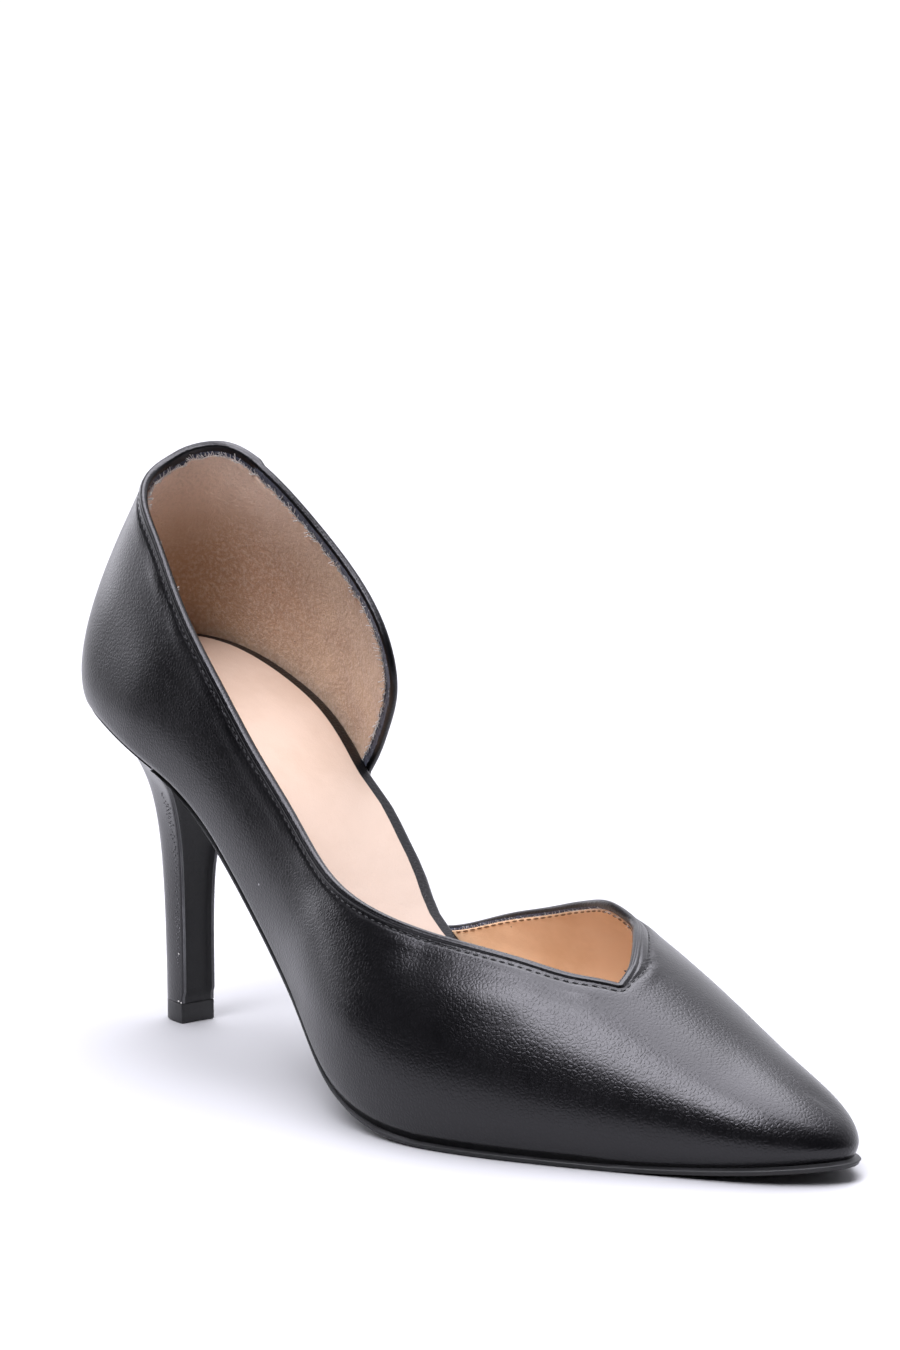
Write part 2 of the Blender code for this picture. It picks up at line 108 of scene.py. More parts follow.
# foot of the wall, edge and share of the edge: front of the counter, round the heel, outer side, throat
rimRows = np.array([
    (-1.292, -1.290, 0.065), (-1.281, -1.296, 0.160), (-1.266, -1.299, 0.265), (-1.244, -1.299, 0.395),
    (-1.216, -1.281, 0.495), (-1.181, -1.247, 0.555), (-1.146, -1.203, 0.602), (-1.111, -1.160, 0.653),
    (-1.076, -1.108, 0.728), (-1.035, -1.055, 0.778), (-1.000, -1.000, 0.755), (-0.955, -0.955, 0.712),
    (-0.900, -0.900, 0.620), (-0.840, -0.840, 0.542), (-0.780, -0.780, 0.488), (-0.720, -0.720, 0.460),
    (-0.660, -0.660, 0.466), (-0.600, -0.600, 0.520), (-0.540, -0.540, 0.580), (-0.480, -0.480, 0.674),
    (-0.420, -0.420, 0.756), (-0.360, -0.360, 0.813), (-0.300, -0.300, 0.852), (-0.250, -0.250, 0.910),
    (-0.220, -0.220, 1.000),
])
wingRows = np.array([
    (0.220, 0.220, 1.000), (0.248, 0.223, 0.925), (0.291, 0.2455, 0.798), (0.327, 0.268, 0.718),
    (0.362, 0.298, 0.645), (0.398, 0.346, 0.598), (0.441, 0.405, 0.524), (0.476, 0.443, 0.468),
    (0.515, 0.499, 0.354), (0.548, 0.543, 0.218), (0.576, 0.583, 0.055),
])

# share of the heel's height, back, breast, half width
heelRows = np.array([
    (0.00, 0.0202, 0.0292, 0.0044), (0.20, 0.0198, 0.0292, 0.0044), (0.45, 0.0188, 0.0293, 0.0047),
    (0.62, 0.0172, 0.0300, 0.0057), (0.76, 0.0140, 0.0316, 0.0080), (0.88, 0.0085, 0.0350, 0.0126),
    (1.00, 0.0042, 0.0440, 0.0234),
])

# the shoe is shaped with the back of the heel seat near x = 0, and moved into the frame by its top piece
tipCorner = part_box("top_piece")[0]
shoeShift = np.array([heelRows[0, 1] - tipCorner.x, -heelRows[0, 3] - tipCorner.y, -tipCorner.z])


# natural cubic curve through rows, read at the given places
def spline(knots, rows, at):
    knots = np.asarray(knots, float)
    rows = np.asarray(rows, float).reshape(len(knots), -1)
    count = len(knots)
    step = np.diff(knots)
    left = np.zeros((count, count))
    right = np.zeros((count, rows.shape[1]))
    left[0, 0] = left[-1, -1] = 1.0
    for i in range(1, count - 1):
        left[i, i - 1:i + 2] = step[i - 1], 2.0 * (step[i - 1] + step[i]), step[i]
        right[i] = 6.0 * ((rows[i + 1] - rows[i]) / step[i] - (rows[i] - rows[i - 1]) / step[i - 1])
    bend = np.linalg.solve(left, right)
    place = np.asarray(at, float).ravel()
    i = np.clip(np.searchsorted(knots, place, side="right") - 1, 0, count - 2)
    a = ((knots[i + 1] - place) / step[i])[:, None]
    b = ((place - knots[i]) / step[i])[:, None]
    h = step[i][:, None]
    value = a * rows[i] + b * rows[i + 1] + ((a ** 3 - a) * bend[i] + (b ** 3 - b) * bend[i + 1]) * h * h / 6.0
    return value.reshape(np.shape(at) + (rows.shape[1],))


# closed curve round the shoe: -1 heel back, negative outer side, 0 toe, positive inner side
def looped(rowsOuter, rowsInner, at):
    station = lastRows[:, 0]
    knots = np.concatenate([-station[::-1], station[1:-1]])
    rows = np.concatenate([rowsOuter[::-1], rowsInner[1:-1]])
    knots = np.concatenate([knots[-4:] - 2.0, knots, knots[:4] + 2.0])
    rows = np.concatenate([rows[-4:], rows, rows[:4]])
    return spline(knots, rows, (np.asarray(at, float) + 1.0) % 2.0 - 1.0)


def ease(value, low, high):
    share = np.clip((np.asarray(value, float) - low) / (high - low), 0.0, 1.0)
    return share * share * (3.0 - 2.0 * share)


def hump(value, middle, width):
    return np.exp(-((np.asarray(value, float) - middle) / width) ** 2)


def unit(vectors):
    return vectors / np.maximum(np.linalg.norm(vectors, axis=-1, keepdims=True), 1e-12)


def soleHeight(x):
    return np.maximum(spline(soleRows[:, 0], soleRows[:, 1], x)[..., 0], treadHeight)


def boardTop(x):
    return soleHeight(x) + spline(soleRows[:, 0], soleRows[:, 2], x)[..., 0]


def bottomEdge(turn):
    return looped(lastRows[:, [1, 2]], lastRows[:, [3, 4]], turn)


def edgeNormal(turn):
    turn, step = np.asarray(turn), lastSet["edgeStep"]
    ahead = unit(bottomEdge(turn + step) - bottomEdge(turn - step))
    return np.stack([ahead[..., 1], -ahead[..., 0]], axis=-1)


def throatLine(turn):
    return looped(lastRows[:, 5:8], lastRows[:, 5:8], turn)


# outer face of the upper at a place round the shoe and a share of the way up its section
def skin(turn, share):
    turn = (np.asarray(turn, float) + 1.0) % 2.0 - 1.0
    share = np.asarray(share, float)[..., None]
    foot = bottomEdge(turn)
    foot = np.concatenate([foot, soleHeight(foot[..., :1])], axis=-1)
    pull = looped(pullRows[:, [3, 4, 5, 7, 2]], pullRows[:, [3, 4, 6, 7, 2]], turn)
    out, rise, flat, drop, tilt = [pull[..., k] for k in range(5)]
    low = foot.copy()
    low[..., :2] += edgeNormal(turn) * out[..., None]
    low[..., 2] += rise
    top = throatLine(turn)
    station = np.abs(turn)
    step = lastSet["ridgeStep"]
    ahead = throatLine(np.maximum(station - step, 0.0)) - throatLine(np.minimum(station + step, 1.0))
    run = np.linalg.norm(ahead[..., :2], axis=-1)
    front = ahead[..., :2] / run[..., None]
    across = np.stack([-front[..., 1], front[..., 0]], axis=-1)
    knots = np.concatenate([-lastRows[::-1, 0], lastRows[1:, 0]])
    fan = np.concatenate([-pullRows[::-1, 1], pullRows[1:, 1]])
    angle = np.radians(spline(knots, fan, turn)[..., 0])
    forward = flat * np.cos(angle)
    sideways = flat * np.sin(angle)
    slope = np.where(station < lastSet["slopeEnd"], ahead[..., 2] / run, 0.0)
    high = top.copy()
    high[..., :2] += forward[..., None] * front + sideways[..., None] * across
    high[..., 2] += forward * slope + sideways * tilt - drop
    rest = 1.0 - share
    return rest ** 3 * foot + 3 * rest ** 2 * share * low + 3 * rest * share ** 2 * high + share ** 3 * top


def skinNormal(turn, share):
    step, rise = lastSet["turnStep"], lastSet["shareStep"]
    along = skin(turn + step, share) - skin(turn - step, share)
    up = skin(turn, np.minimum(share + rise, 1.0)) - skin(turn, np.maximum(share - rise, 0.0))
    return unit(np.cross(along, up))


columnSet = dict(
    toeShare=0.70, toeReach=0.80,       # this share of the vamp's columns covers this share of the way to the throat
    toeEven=0.35,                       # the rest of their spacing widens from the toe
    edgeEven=0.75,                      # spacing along the cut edge, the rest along the foot of the wall
    rimPoints=3200, wingPoints=1200,    # points on the fine line of the cut edge
)


# points up wall columns, at the same shares of each
def columnLines(columns, shares):
    foot, edge, top = columns[:, :1], columns[:, 1:2], columns[:, 2:]
    return foot + (edge - foot) * shares, top * shares


# feet of wall columns, spread evenly along the edge that they reach
def evenFeet(rows, count):
    feet = np.linspace(rows[0, 0], rows[-1, 0], 3001)
    edge = spline(rows[:, 0], rows[:, 1:], feet)
    line = skin(edge[:, 0], edge[:, 1])
    run = np.concatenate([[0.0], np.cumsum(np.linalg.norm(np.diff(line, axis=0), axis=1))])
    even = columnSet["edgeEven"]
    measure = even * run / run[-1] + (1.0 - even) * np.linspace(0.0, 1.0, len(feet))
    return np.interp(np.linspace(0.0, 1.0, count + 1), measure, feet)


# columns of the wall in walking order: foot, edge and share of the edge
def wallColumns(rimCount, vampCount, wingCount):
    toeShare, reach, even = columnSet["toeShare"], columnSet["toeReach"], columnSet["toeEven"]
    lean = np.linspace(0.0, 1.0, vampCount + 1)
    toeward = np.clip(lean / toeShare, 0.0, 1.0)
    throatward = np.clip((lean - toeShare) / (1.0 - toeShare), 0.0, 1.0)
    vamp = lastSet["throat"] * (reach * (even * toeward + (1.0 - even) * toeward ** 2) + (1.0 - reach) * throatward)
    rim = evenFeet(rimRows, rimCount)[:-1]
    wing = evenFeet(wingRows, wingCount)[1:]
    middle = np.concatenate([-vamp[::-1], vamp[1:]])
    return np.concatenate([
        np.column_stack([rim, spline(rimRows[:, 0], rimRows[:, 1:], rim)]),
        np.column_stack([middle, middle, np.ones(len(middle))]),
        np.column_stack([wing, spline(wingRows[:, 0], wingRows[:, 1:], wing)]),
    ])


# the whole cut edge of the upper as one fine line
def cutEdge():
    rimFeet = np.linspace(rimRows[0, 0], rimRows[-1, 0], columnSet["rimPoints"])
    wingFeet = np.linspace(wingRows[0, 0], wingRows[-1, 0], columnSet["wingPoints"])[1:]
    rim = spline(rimRows[:, 0], rimRows[:, 1:], rimFeet)
    wing = spline(wingRows[:, 0], wingRows[:, 1:], wingFeet)
    place = np.concatenate([rim, wing])
    line = skin(place[:, 0], place[:, 1])
    run = np.concatenate([[0.0], np.cumsum(np.linalg.norm(np.diff(line, axis=0), axis=1))])
    return line, run, place[:, 0]


edgeLine, edgeRun, edgeTurn = cutEdge()
throatRun = edgeRun[columnSet["rimPoints"] - 1]
edgeTree = KDTree(len(edgeLine))
for i, point in enumerate(edgeLine):
    edgeTree.insert(point, i)
edgeTree.balance()


# distance of points from the cut edge, and how far along it they are
def edgeDistance(points):
    flat = points.reshape(-1, 3)
    near = np.array([edgeTree.find(p)[1] for p in flat])
    best = np.full(len(flat), 1e9)
    along = edgeRun[near]
    for shift in (-1, 0):
        a = np.clip(near + shift, 0, len(edgeLine) - 2)
        start = edgeLine[a]
        step = edgeLine[a + 1] - start
        t = np.clip(((flat - start) * step).sum(axis=1) / np.maximum((step ** 2).sum(axis=1), 1e-18), 0.0, 1.0)
        gap = np.linalg.norm(flat - start - step * t[:, None], axis=1)
        better = gap < best
        best[better] = gap[better]
        along[better] = (edgeRun[a] + t * (edgeRun[a + 1] - edgeRun[a]))[better]
    return best.reshape(points.shape[:-1]), along.reshape(points.shape[:-1])


def turnAt(along):
    return np.interp(along, edgeRun, edgeTurn)


# smooth repeatable unevenness along one measure
def waver(value, wavelength, seed):
    rng = np.random.default_rng(seed)
    total = np.zeros(np.shape(value))
    for k in range(5):
        length = wavelength * rng.uniform(0.55, 1.7)
        total += np.sin(np.asarray(value) * 2.0 * math.pi / length + rng.uniform(0.0, 6.28))
    return total / 3.2


def makePiece(name, points, faces, materials, faceSlots=None):
    mesh = bpy.data.meshes.new(name)
    mesh.from_pydata((points - shoeShift).tolist(), [], faces)
    for material in materials:
        mesh.materials.append(material)
    if faceSlots is not None:
        mesh.polygons.foreach_set("material_index", np.asarray(faceSlots, np.int32))
    mesh.polygons.foreach_set("use_smooth", np.ones(len(mesh.polygons), bool))
    mesh.update()
    piece = bpy.data.objects.new(name, mesh)
    bpy.context.scene.collection.objects.link(piece)
    return piece


def keepUsed(points, faces):
    used = np.unique(np.concatenate([np.asarray(f) for f in faces]))
    order = np.full(len(points), -1)
    order[used] = np.arange(len(used))
    return points[used], [[int(order[v]) for v in f] for f in faces]


# a face with its repeated corners dropped
def cleanFace(face):
    return list(dict.fromkeys(int(v) for v in face))


def addNode(tree, kind, settings=None, **inputs):
    node = tree.nodes.new(kind)
    for key, value in (settings or {}).items():
        setattr(node, key, value)
    for key, value in inputs.items():
        byNumber = key[0] == "i" and key[1:].isdigit()
        socket = node.inputs[int(key[1:]) if byNumber else key.replace("_", " ")]
        if isinstance(value, bpy.types.NodeSocket):
            tree.links.new(value, socket)
        else:
            socket.default_value = value
    return node


def newMaterial(name, colour, roughness, **sockets):
    material = bpy.data.materials.new(name)
    material.use_nodes = True
    shader = material.node_tree.nodes["Principled BSDF"]
    shader.inputs["Base Color"].default_value = tuple(colour) + (1.0,)
    shader.inputs["Roughness"].default_value = roughness
    for key, value in sockets.items():
        shader.inputs[key.replace("_", " ")].default_value = value
    return material, material.node_tree, shader


def objectPlace(tree):
    return addNode(tree, "ShaderNodeTexCoord").outputs["Object"]


def noise(tree, place, scale, detail=3.0, rough=0.55):
    node = addNode(tree, "ShaderNodeTexNoise", Vector=place, Scale=scale, Detail=detail, Roughness=rough)
    return node.outputs["Fac"]


def remap(tree, value, fromLow, fromHigh, toLow, toHigh):
    node = addNode(tree, "ShaderNodeMapRange", {"interpolation_type": "SMOOTHSTEP"}, Value=value)
    for label, number in zip(("From Min", "From Max", "To Min", "To Max"), (fromLow, fromHigh, toLow, toHigh)):
        node.inputs[label].default_value = number
    return node.outputs["Result"]


def mixColour(tree, factor, first, second):
    node = addNode(tree, "ShaderNodeMix", {"data_type": "RGBA"})
    for index, value in ((0, factor), (6, first), (7, second)):
        if isinstance(value, bpy.types.NodeSocket):
            tree.links.new(value, node.inputs[index])
        else:
            node.inputs[index].default_value = value if index == 0 else tuple(value) + (1.0,)
    return node.outputs[2]


def maths(tree, kind, first, second=None):
    node = addNode(tree, "ShaderNodeMath", {"operation": kind})
    for index, value in ((0, first), (1, second)):
        if isinstance(value, bpy.types.NodeSocket):
            tree.links.new(value, node.inputs[index])
        elif value is not None:
            node.inputs[index].default_value = value
    return node.outputs[0]


def bump(tree, height, depth, strength=1.0, under=None):
    node = addNode(tree, "ShaderNodeBump", Height=height, Distance=depth, Strength=strength)
    if under is not None:
        tree.links.new(under, node.inputs["Normal"])
    return node.outputs["Normal"]


# small rounded cells with dark valleys between them, as on printed or shrunken leather
def pebble(tree, place, scale, warp):
    wander = addNode(tree, "ShaderNodeTexNoise", Vector=place, Scale=scale * 0.45, Detail=2.0)
    bent = addNode(tree, "ShaderNodeVectorMath", {"operation": "MULTIPLY_ADD"}, i0=wander.outputs["Color"],
                   i1=(warp, warp, warp), i2=place)
    cells = addNode(tree, "ShaderNodeTexVoronoi", {"feature": "DISTANCE_TO_EDGE"},
                    Vector=bent.outputs["Vector"], Scale=scale)
    return remap(tree, cells.outputs["Distance"], 0.0, 0.30, 0.0, 1.0)


# scattered pale specks
def specks(tree, place, scale, size, keep):
    cells = addNode(tree, "ShaderNodeTexVoronoi", Vector=place, Scale=scale)
    dot = remap(tree, cells.outputs["Distance"], size * 0.6, size, 1.0, 0.0)
    tint = addNode(tree, "ShaderNodeSeparateColor", Color=cells.outputs["Color"])
    chosen = remap(tree, tint.outputs[0], keep, keep + 0.01, 1.0, 0.0)
    return maths(tree, "MULTIPLY", dot, chosen)


def blackLeather(name, s):
    material, tree, shader = newMaterial(name, s["colour"], s["roughness"], Coat_Weight=s["coat"],
                                         Coat_Roughness=s["coatRoughness"], Specular_Tint=s["gleam"],
                                         Specular_IOR_Level=s["specular"])
    place = objectPlace(tree)
    grain = pebble(tree, place, s["pebbleScale"], s["pebbleWarp"] / s["pebbleScale"])
    fine = noise(tree, place, s["pebbleScale"] * s["fineRatio"], 2.0)
    level = bump(tree, noise(tree, place, s["broadScale"], 3.0), s["broadDepth"])
    level = bump(tree, fine, s["fineDepth"], 1.0, level)
    tree.links.new(bump(tree, grain, s["pebbleDepth"], 1.0, level), shader.inputs["Normal"])
    patch = noise(tree, place, s["patchScale"], 3.0)
    tree.links.new(remap(tree, patch, 0.3, 0.7, *s["roughRange"]), shader.inputs["Roughness"])
    dust = specks(tree, place, s["dustScale"], s["dustSize"], s["dustShare"])
    tone = mixColour(tree, grain, s["valley"], s["colour"])
    tree.links.new(mixColour(tree, dust, tone, s["dust"]), shader.inputs["Base Color"])
    return material


leatherSet = dict(
    colour=(0.0020, 0.0019, 0.0026), valley=(0.0010, 0.0010, 0.0014), roughness=0.31, roughRange=(0.28, 0.35),
    specular=0.36, coat=0.20, coatRoughness=0.22, gleam=(0.97, 0.95, 1.0, 1.0), pebbleScale=1150.0,
    pebbleDepth=0.000026, pebbleWarp=0.35, fineRatio=2.2, fineDepth=0.000004, broadScale=150.0, broadDepth=0.00004,
    patchScale=55.0, dustScale=190.0, dustSize=0.055, dustShare=0.05, dust=(0.30, 0.30, 0.31),
)
wrapSet = dict(leatherSet, roughRange=(0.28, 0.37), pebbleDepth=0.000018, dustShare=0.08, dustScale=260.0)
boardSet = dict(wrapSet, pebbleDepth=0.000030)


fleshSet = dict(
    colour=(0.030, 0.037, 0.065), deep=(0.014, 0.019, 0.038), pale=(0.070, 0.085, 0.140), speck=(0.34, 0.36, 0.42),
    napScale=2600.0, napDepth=0.00025, speckScale=900.0, speckSize=0.28, speckShare=0.40,
)


def fleshMaterial():
    s = fleshSet
    material, tree, shader = newMaterial("collar_flesh", s["colour"], 0.9, Sheen_Weight=0.25, Sheen_Roughness=0.5)
    place = objectPlace(tree)
    nap = noise(tree, place, s["napScale"], 3.0, 0.7)
    spots = specks(tree, place, s["speckScale"], s["speckSize"], s["speckShare"])
    tone = mixColour(tree, remap(tree, nap, 0.35, 0.7, 0.0, 1.0), s["deep"], s["pale"])
    tree.links.new(mixColour(tree, spots, tone, s["speck"]), shader.inputs["Base Color"])
    tree.links.new(bump(tree, nap, s["napDepth"]), shader.inputs["Normal"])
    return material


suedeSet = dict(
    pale=(0.51, 0.345, 0.222), deep=(0.41, 0.258, 0.158), patch=(0.36, 0.188, 0.096), nap=(0.66, 0.49, 0.37),
    paintedLight=(0.92, 0.69, 0.55), paintedLightFrom=0.098, paintedLightTo=0.122,      # painted light: paler towards the top of the heel, where the lining is lit more
    patchPlace=(0.030, 0.016, 0.098), patchSize=0.018, patchRagged=0.006, speck=(0.05, 0.04, 0.04),
    blotchScale=95.0, napScale=1250.0, napDepth=0.00034, creaseScale=260.0, creaseDepth=0.00035, speckScale=420.0,
)


def suedeMaterial():
    s = suedeSet
    material, tree, shader = newMaterial("counter_suede", s["pale"], 0.92, Sheen_Weight=0.35, Sheen_Roughness=0.55)
    place = objectPlace(tree)
    blotch = remap(tree, noise(tree, place, s["blotchScale"], 4.0, 0.6), 0.36, 0.66, 0.0, 1.0)
    nap = noise(tree, place, s["napScale"], 3.0, 0.7)
    tone = mixColour(tree, blotch, s["pale"], s["deep"])
    height = addNode(tree, "ShaderNodeSeparateXYZ", Vector=place).outputs["Z"]
    # painted light: the suede is mixed towards a pale colour near the top of the heel
    tone = mixColour(tree, remap(tree, height, s["paintedLightFrom"], s["paintedLightTo"], 0.0, 0.9), tone, s["paintedLight"])
    away = addNode(tree, "ShaderNodeVectorMath", {"operation": "DISTANCE"}, i0=place,
                   i1=tuple(np.array(s["patchPlace"]) - shoeShift))
    ragged = maths(tree, "ADD", away.outputs["Value"], maths(tree, "MULTIPLY", blotch, s["patchRagged"]))
    worn = remap(tree, ragged, s["patchSize"] * 0.35, s["patchSize"] * 1.5, 0.75, 0.0)
    tone = mixColour(tree, worn, tone, s["patch"])
    tone = mixColour(tree, remap(tree, nap, 0.42, 0.68, 0.0, 0.55), tone, s["nap"])
    spots = specks(tree, place, s["speckScale"], 0.07, 0.10)
    tree.links.new(mixColour(tree, spots, tone, s["speck"]), shader.inputs["Base Color"])
    level = bump(tree, noise(tree, place, s["creaseScale"], 3.0), s["creaseDepth"])
    tree.links.new(bump(tree, nap, s["napDepth"], 1.0, level), shader.inputs["Normal"])
    return material


vampLook = dict(
    pale=(0.84, 0.560, 0.345), deep=(0.73, 0.460, 0.262), blotchScale=60.0, roughRange=(0.48, 0.66),
    creaseScale=130.0, creaseDepth=0.00035, poreScale=2300.0, poreDepth=0.00005, speckScale=230.0,
)
sockLook = dict(
    vampLook, pale=(0.70, 0.535, 0.425), deep=(0.645, 0.480, 0.370), creaseDepth=0.00025,
    front=(0.50, 0.39, 0.315), frontFrom=0.058, frontTo=0.092,      # painted shade: duller and darker towards the toe
)


def smoothLining(name, s):
    material, tree, shader = newMaterial(name, s["pale"], 0.55, Sheen_Weight=0.08)
    place = objectPlace(tree)
    blotch = remap(tree, noise(tree, place, s["blotchScale"], 4.0, 0.6), 0.35, 0.7, 0.0, 1.0)
    pores = noise(tree, place, s["poreScale"], 2.0)
    folds = noise(tree, place, s["creaseScale"], 3.0)
    tone = mixColour(tree, blotch, s["pale"], s["deep"])
    # painted shade: a sheet with a front colour is darkened and greyed towards the toe
    if "front" in s:
        along = addNode(tree, "ShaderNodeSeparateXYZ", Vector=place).outputs["X"]
        start, stop = float(s["frontFrom"] - shoeShift[0]), float(s["frontTo"] - shoeShift[0])
        tone = mixColour(tree, remap(tree, along, start, stop, 0.0, 1.0), tone, s["front"])
    spots = specks(tree, place, s["speckScale"], 0.05, 0.07)
    tree.links.new(mixColour(tree, spots, tone, tuple(c * 0.4 for c in s["deep"])), shader.inputs["Base Color"])
    level = bump(tree, folds, s["creaseDepth"])
    tree.links.new(bump(tree, pores, s["poreDepth"], 1.0, level), shader.inputs["Normal"])
    tree.links.new(remap(tree, blotch, 0.0, 1.0, *s["roughRange"]), shader.inputs["Roughness"])
    return material


# plain sheets and blocks: colour, roughness, scale of the grain, depth of the grain
sheetLooks = {
    "outsole_black": ((0.012, 0.012, 0.013), 0.48, 900.0, 0.00010),
    "heel_breast_black": ((0.008, 0.008, 0.009), 0.62, 1300.0, 0.00009),
    # the lip's lighter grey is a painted highlight along the corner of the breast
    "heel_lip_painted_highlight": ((0.085, 0.085, 0.090), 0.30, 1300.0, 0.00004),
    "top_piece_black": ((0.011, 0.011, 0.012), 0.46, 1100.0, 0.00006),
    "grey_glue": ((0.11, 0.11, 0.115), 0.45, 1500.0, 0.00004),
    "pale_glue": ((0.62, 0.60, 0.57), 0.5, 1500.0, 0.00004),
}
rubSet = dict(scale=75.0, span=(0.45, 0.75), paler=2.4, lift=0.004, rougher=0.2)     # where a sheet is rubbed

# threads and fibres: colour, roughness
threadLooks = {
    "black_thread": ((0.030, 0.030, 0.033), 0.38),
    "tan_thread": ((0.25, 0.125, 0.058), 0.7),
    "pale_fibre": ((0.86, 0.83, 0.80), 0.8),
}
twistSet = dict(scale=900.0, wander=2.0, shade=0.55, depth=0.00008)


def sheetMaterial(name, colour, rough, grainScale, grainDepth):
    material, tree, shader = newMaterial(name, colour, rough)
    place = objectPlace(tree)
    grain = noise(tree, place, grainScale, 4.0, 0.65)
    rub = remap(tree, noise(tree, place, rubSet["scale"], 4.0), *rubSet["span"], 0.0, 1.0)
    paler = tuple(c * rubSet["paler"] + rubSet["lift"] for c in colour)
    tree.links.new(mixColour(tree, rub, colour, paler), shader.inputs["Base Color"])
    tree.links.new(remap(tree, rub, 0.0, 1.0, rough, rough + rubSet["rougher"]), shader.inputs["Roughness"])
    tree.links.new(bump(tree, grain, grainDepth), shader.inputs["Normal"])
    return material


def threadMaterial(name, colour, rough):
    material, tree, shader = newMaterial(name, colour, rough)
    place = objectPlace(tree)
    s = twistSet
    twist = addNode(tree, "ShaderNodeTexWave", Vector=place, Scale=s["scale"], Distortion=s["wander"]).outputs["Fac"]
    tree.links.new(mixColour(tree, twist, tuple(c * s["shade"] for c in colour), colour), shader.inputs["Base Color"])
    tree.links.new(bump(tree, twist, s["depth"]), shader.inputs["Normal"])
    return material


upperMaterial = blackLeather("upper_leather_black", leatherSet)
heelMaterial = blackLeather("heel_wrap_black", wrapSet)
boardMaterial = blackLeather("board_wrap_black", boardSet)
collarFlesh = fleshMaterial()
counterSuede = suedeMaterial()
vampLiningMaterial = smoothLining("vamp_lining_peach", vampLook)
sockMaterial = smoothLining("sock_beige", sockLook)
outsoleMaterial, breastMaterial, lipHighlightMaterial, tipMaterial, greyGlue, paleGlue = [
    sheetMaterial(name, *look) for name, look in sheetLooks.items()]
blackThread, tanThread, paleFibre = [threadMaterial(name, *look) for name, look in threadLooks.items()]
print("materials made")


upperSet = dict(
    rimColumns=380, vampColumns=150, wingColumns=130,
    lowRows=30, edgeRows=44, edgeReach=0.0085,
    innerStep=3,            # every third row carries on down the inside
    edgeRadius=0.0009,
    beadWidth=0.00150, beadLift=0.00022, beadGroove=0.00020, foldLine=0.00012,
    stitchGroove=0.00026, wingSunk=1.7, puff=0.00016,
    beadEdge=(-0.0003, 0.0002), grooveAt=0.0001, grooveWidth=0.00026, foldLineAt=0.00085, foldLineWidth=0.00016,
    stitchWidth=0.00045, puffAt=0.0020, puffWidth=0.0013, puffWave=0.011, puffSeed=4,
    outerStitch=0.0023, wingStitch=0.0036, counterStitch=0.0025,    # the rows' distances from the cut edge
    counterTurn=(-1.06, -0.95), wingTurn=(0.001, 0.010), wingSinks=(0.001, 0.008),
    tuckHeight=0.0018, tuckDepth=0.0009,
    toeLap=0.0013, lapSpan=(0.085, 0.125),      # how far the leather laps down over the edge of the outsole
    backFold=0.00060,       # extra thickness of the fold at the back of the collar
    foldStart=(-1.112, -1.106), foldEnd=(-1.0, -0.90), foldFoot=(0.0024, 0.0036), foldInside=0.4,
    fleshCounter=0.0008, fleshFold=0.0020, fleshOuter=0.0010, fleshWing=0.0006, fleshEnd=(-1.0, -0.94),
    ridgeFade=(0.002, 0.016),       # the rows along the vamp's ridge spread out over this distance from the throat
    innerFine=9,            # rows by the edge that all carry on down the inside
)

# soft dents and swells: points round the shoe and up it, half width, depth (a swell is negative)
dents = [
    (((-0.26, 0.80), (-0.33, 0.74), (-0.40, 0.66)), 0.0040, 0.00035),
    (((-0.30, 0.66), (-0.36, 0.60)), 0.0060, -0.00045),
    (((-0.44, 0.56), (-0.52, 0.45)), 0.0060, -0.00030),
    (((-0.45, 0.30), (-0.55, 0.27), (-0.68, 0.24), (-0.80, 0.22)), 0.0110, -0.00085),
    (((-0.80, 0.34), (-0.88, 0.40)), 0.0070, -0.00030),
    (((-0.10, 0.80), (0.02, 0.86)), 0.0050, 0.00020),
]


def stitchGap(along):
    s = upperSet
    outer = s["counterStitch"] + (s["outerStitch"] - s["counterStitch"]) * ease(turnAt(along), *s["counterTurn"])
    wing = s["outerStitch"] + (s["wingStitch"] - s["outerStitch"]) * ease(along - throatRun, *s["wingTurn"])
    return np.where(along < throatRun, outer, wing)


# how far the outer leather turns over the cut edge before the flesh side shows
def fleshStart(along):
    s = upperSet
    turn = turnAt(along)
    rim = s["fleshCounter"] + (s["fleshFold"] - s["fleshCounter"]) * ease(turn, *s["foldStart"])
    rim = rim + (s["fleshOuter"] - s["fleshFold"]) * ease(turn, *s["fleshEnd"])
    return np.where(along < throatRun, rim, s["fleshWing"])


# the cut edge is rounded
def edgeRounding(gap):
    radius = upperSet["edgeRadius"]
    turned = np.clip(radius - gap, 0.0, radius)
    return radius - np.sqrt(np.maximum(radius ** 2 - turned ** 2, 0.0))


# how far the leather of the outer face stands in from (+) or out of (-) the plain last
def edgeRelief(gap, along):
    s = upperSet
    inset = edgeRounding(gap)
    bead = s["beadWidth"]
    inset -= s["beadLift"] * (1.0 - ease(gap, bead + s["beadEdge"][0], bead + s["beadEdge"][1]))
    inset += s["beadGroove"] * hump(gap, bead + s["grooveAt"], s["grooveWidth"])
    inset += s["foldLine"] * hump(gap, s["foldLineAt"], s["foldLineWidth"])
    row = stitchGap(along)
    sunk = s["stitchGroove"] * (1.0 + (s["wingSunk"] - 1.0) * ease(along - throatRun, *s["wingSinks"]))
    inset += sunk * hump(gap, row, s["stitchWidth"])
    swell = 0.6 + 0.6 * waver(along, s["puffWave"], s["puffSeed"])
    inset -= s["puff"] * hump(gap, row + s["puffAt"], s["puffWidth"]) * swell
    turn = turnAt(along)
    fold = ease(turn, *s["foldStart"]) * (1.0 - ease(turn, *s["foldEnd"])) * (along < throatRun)
    inset -= s["backFold"] * fold * (1.0 - ease(gap, *s["foldFoot"]))
    return inset


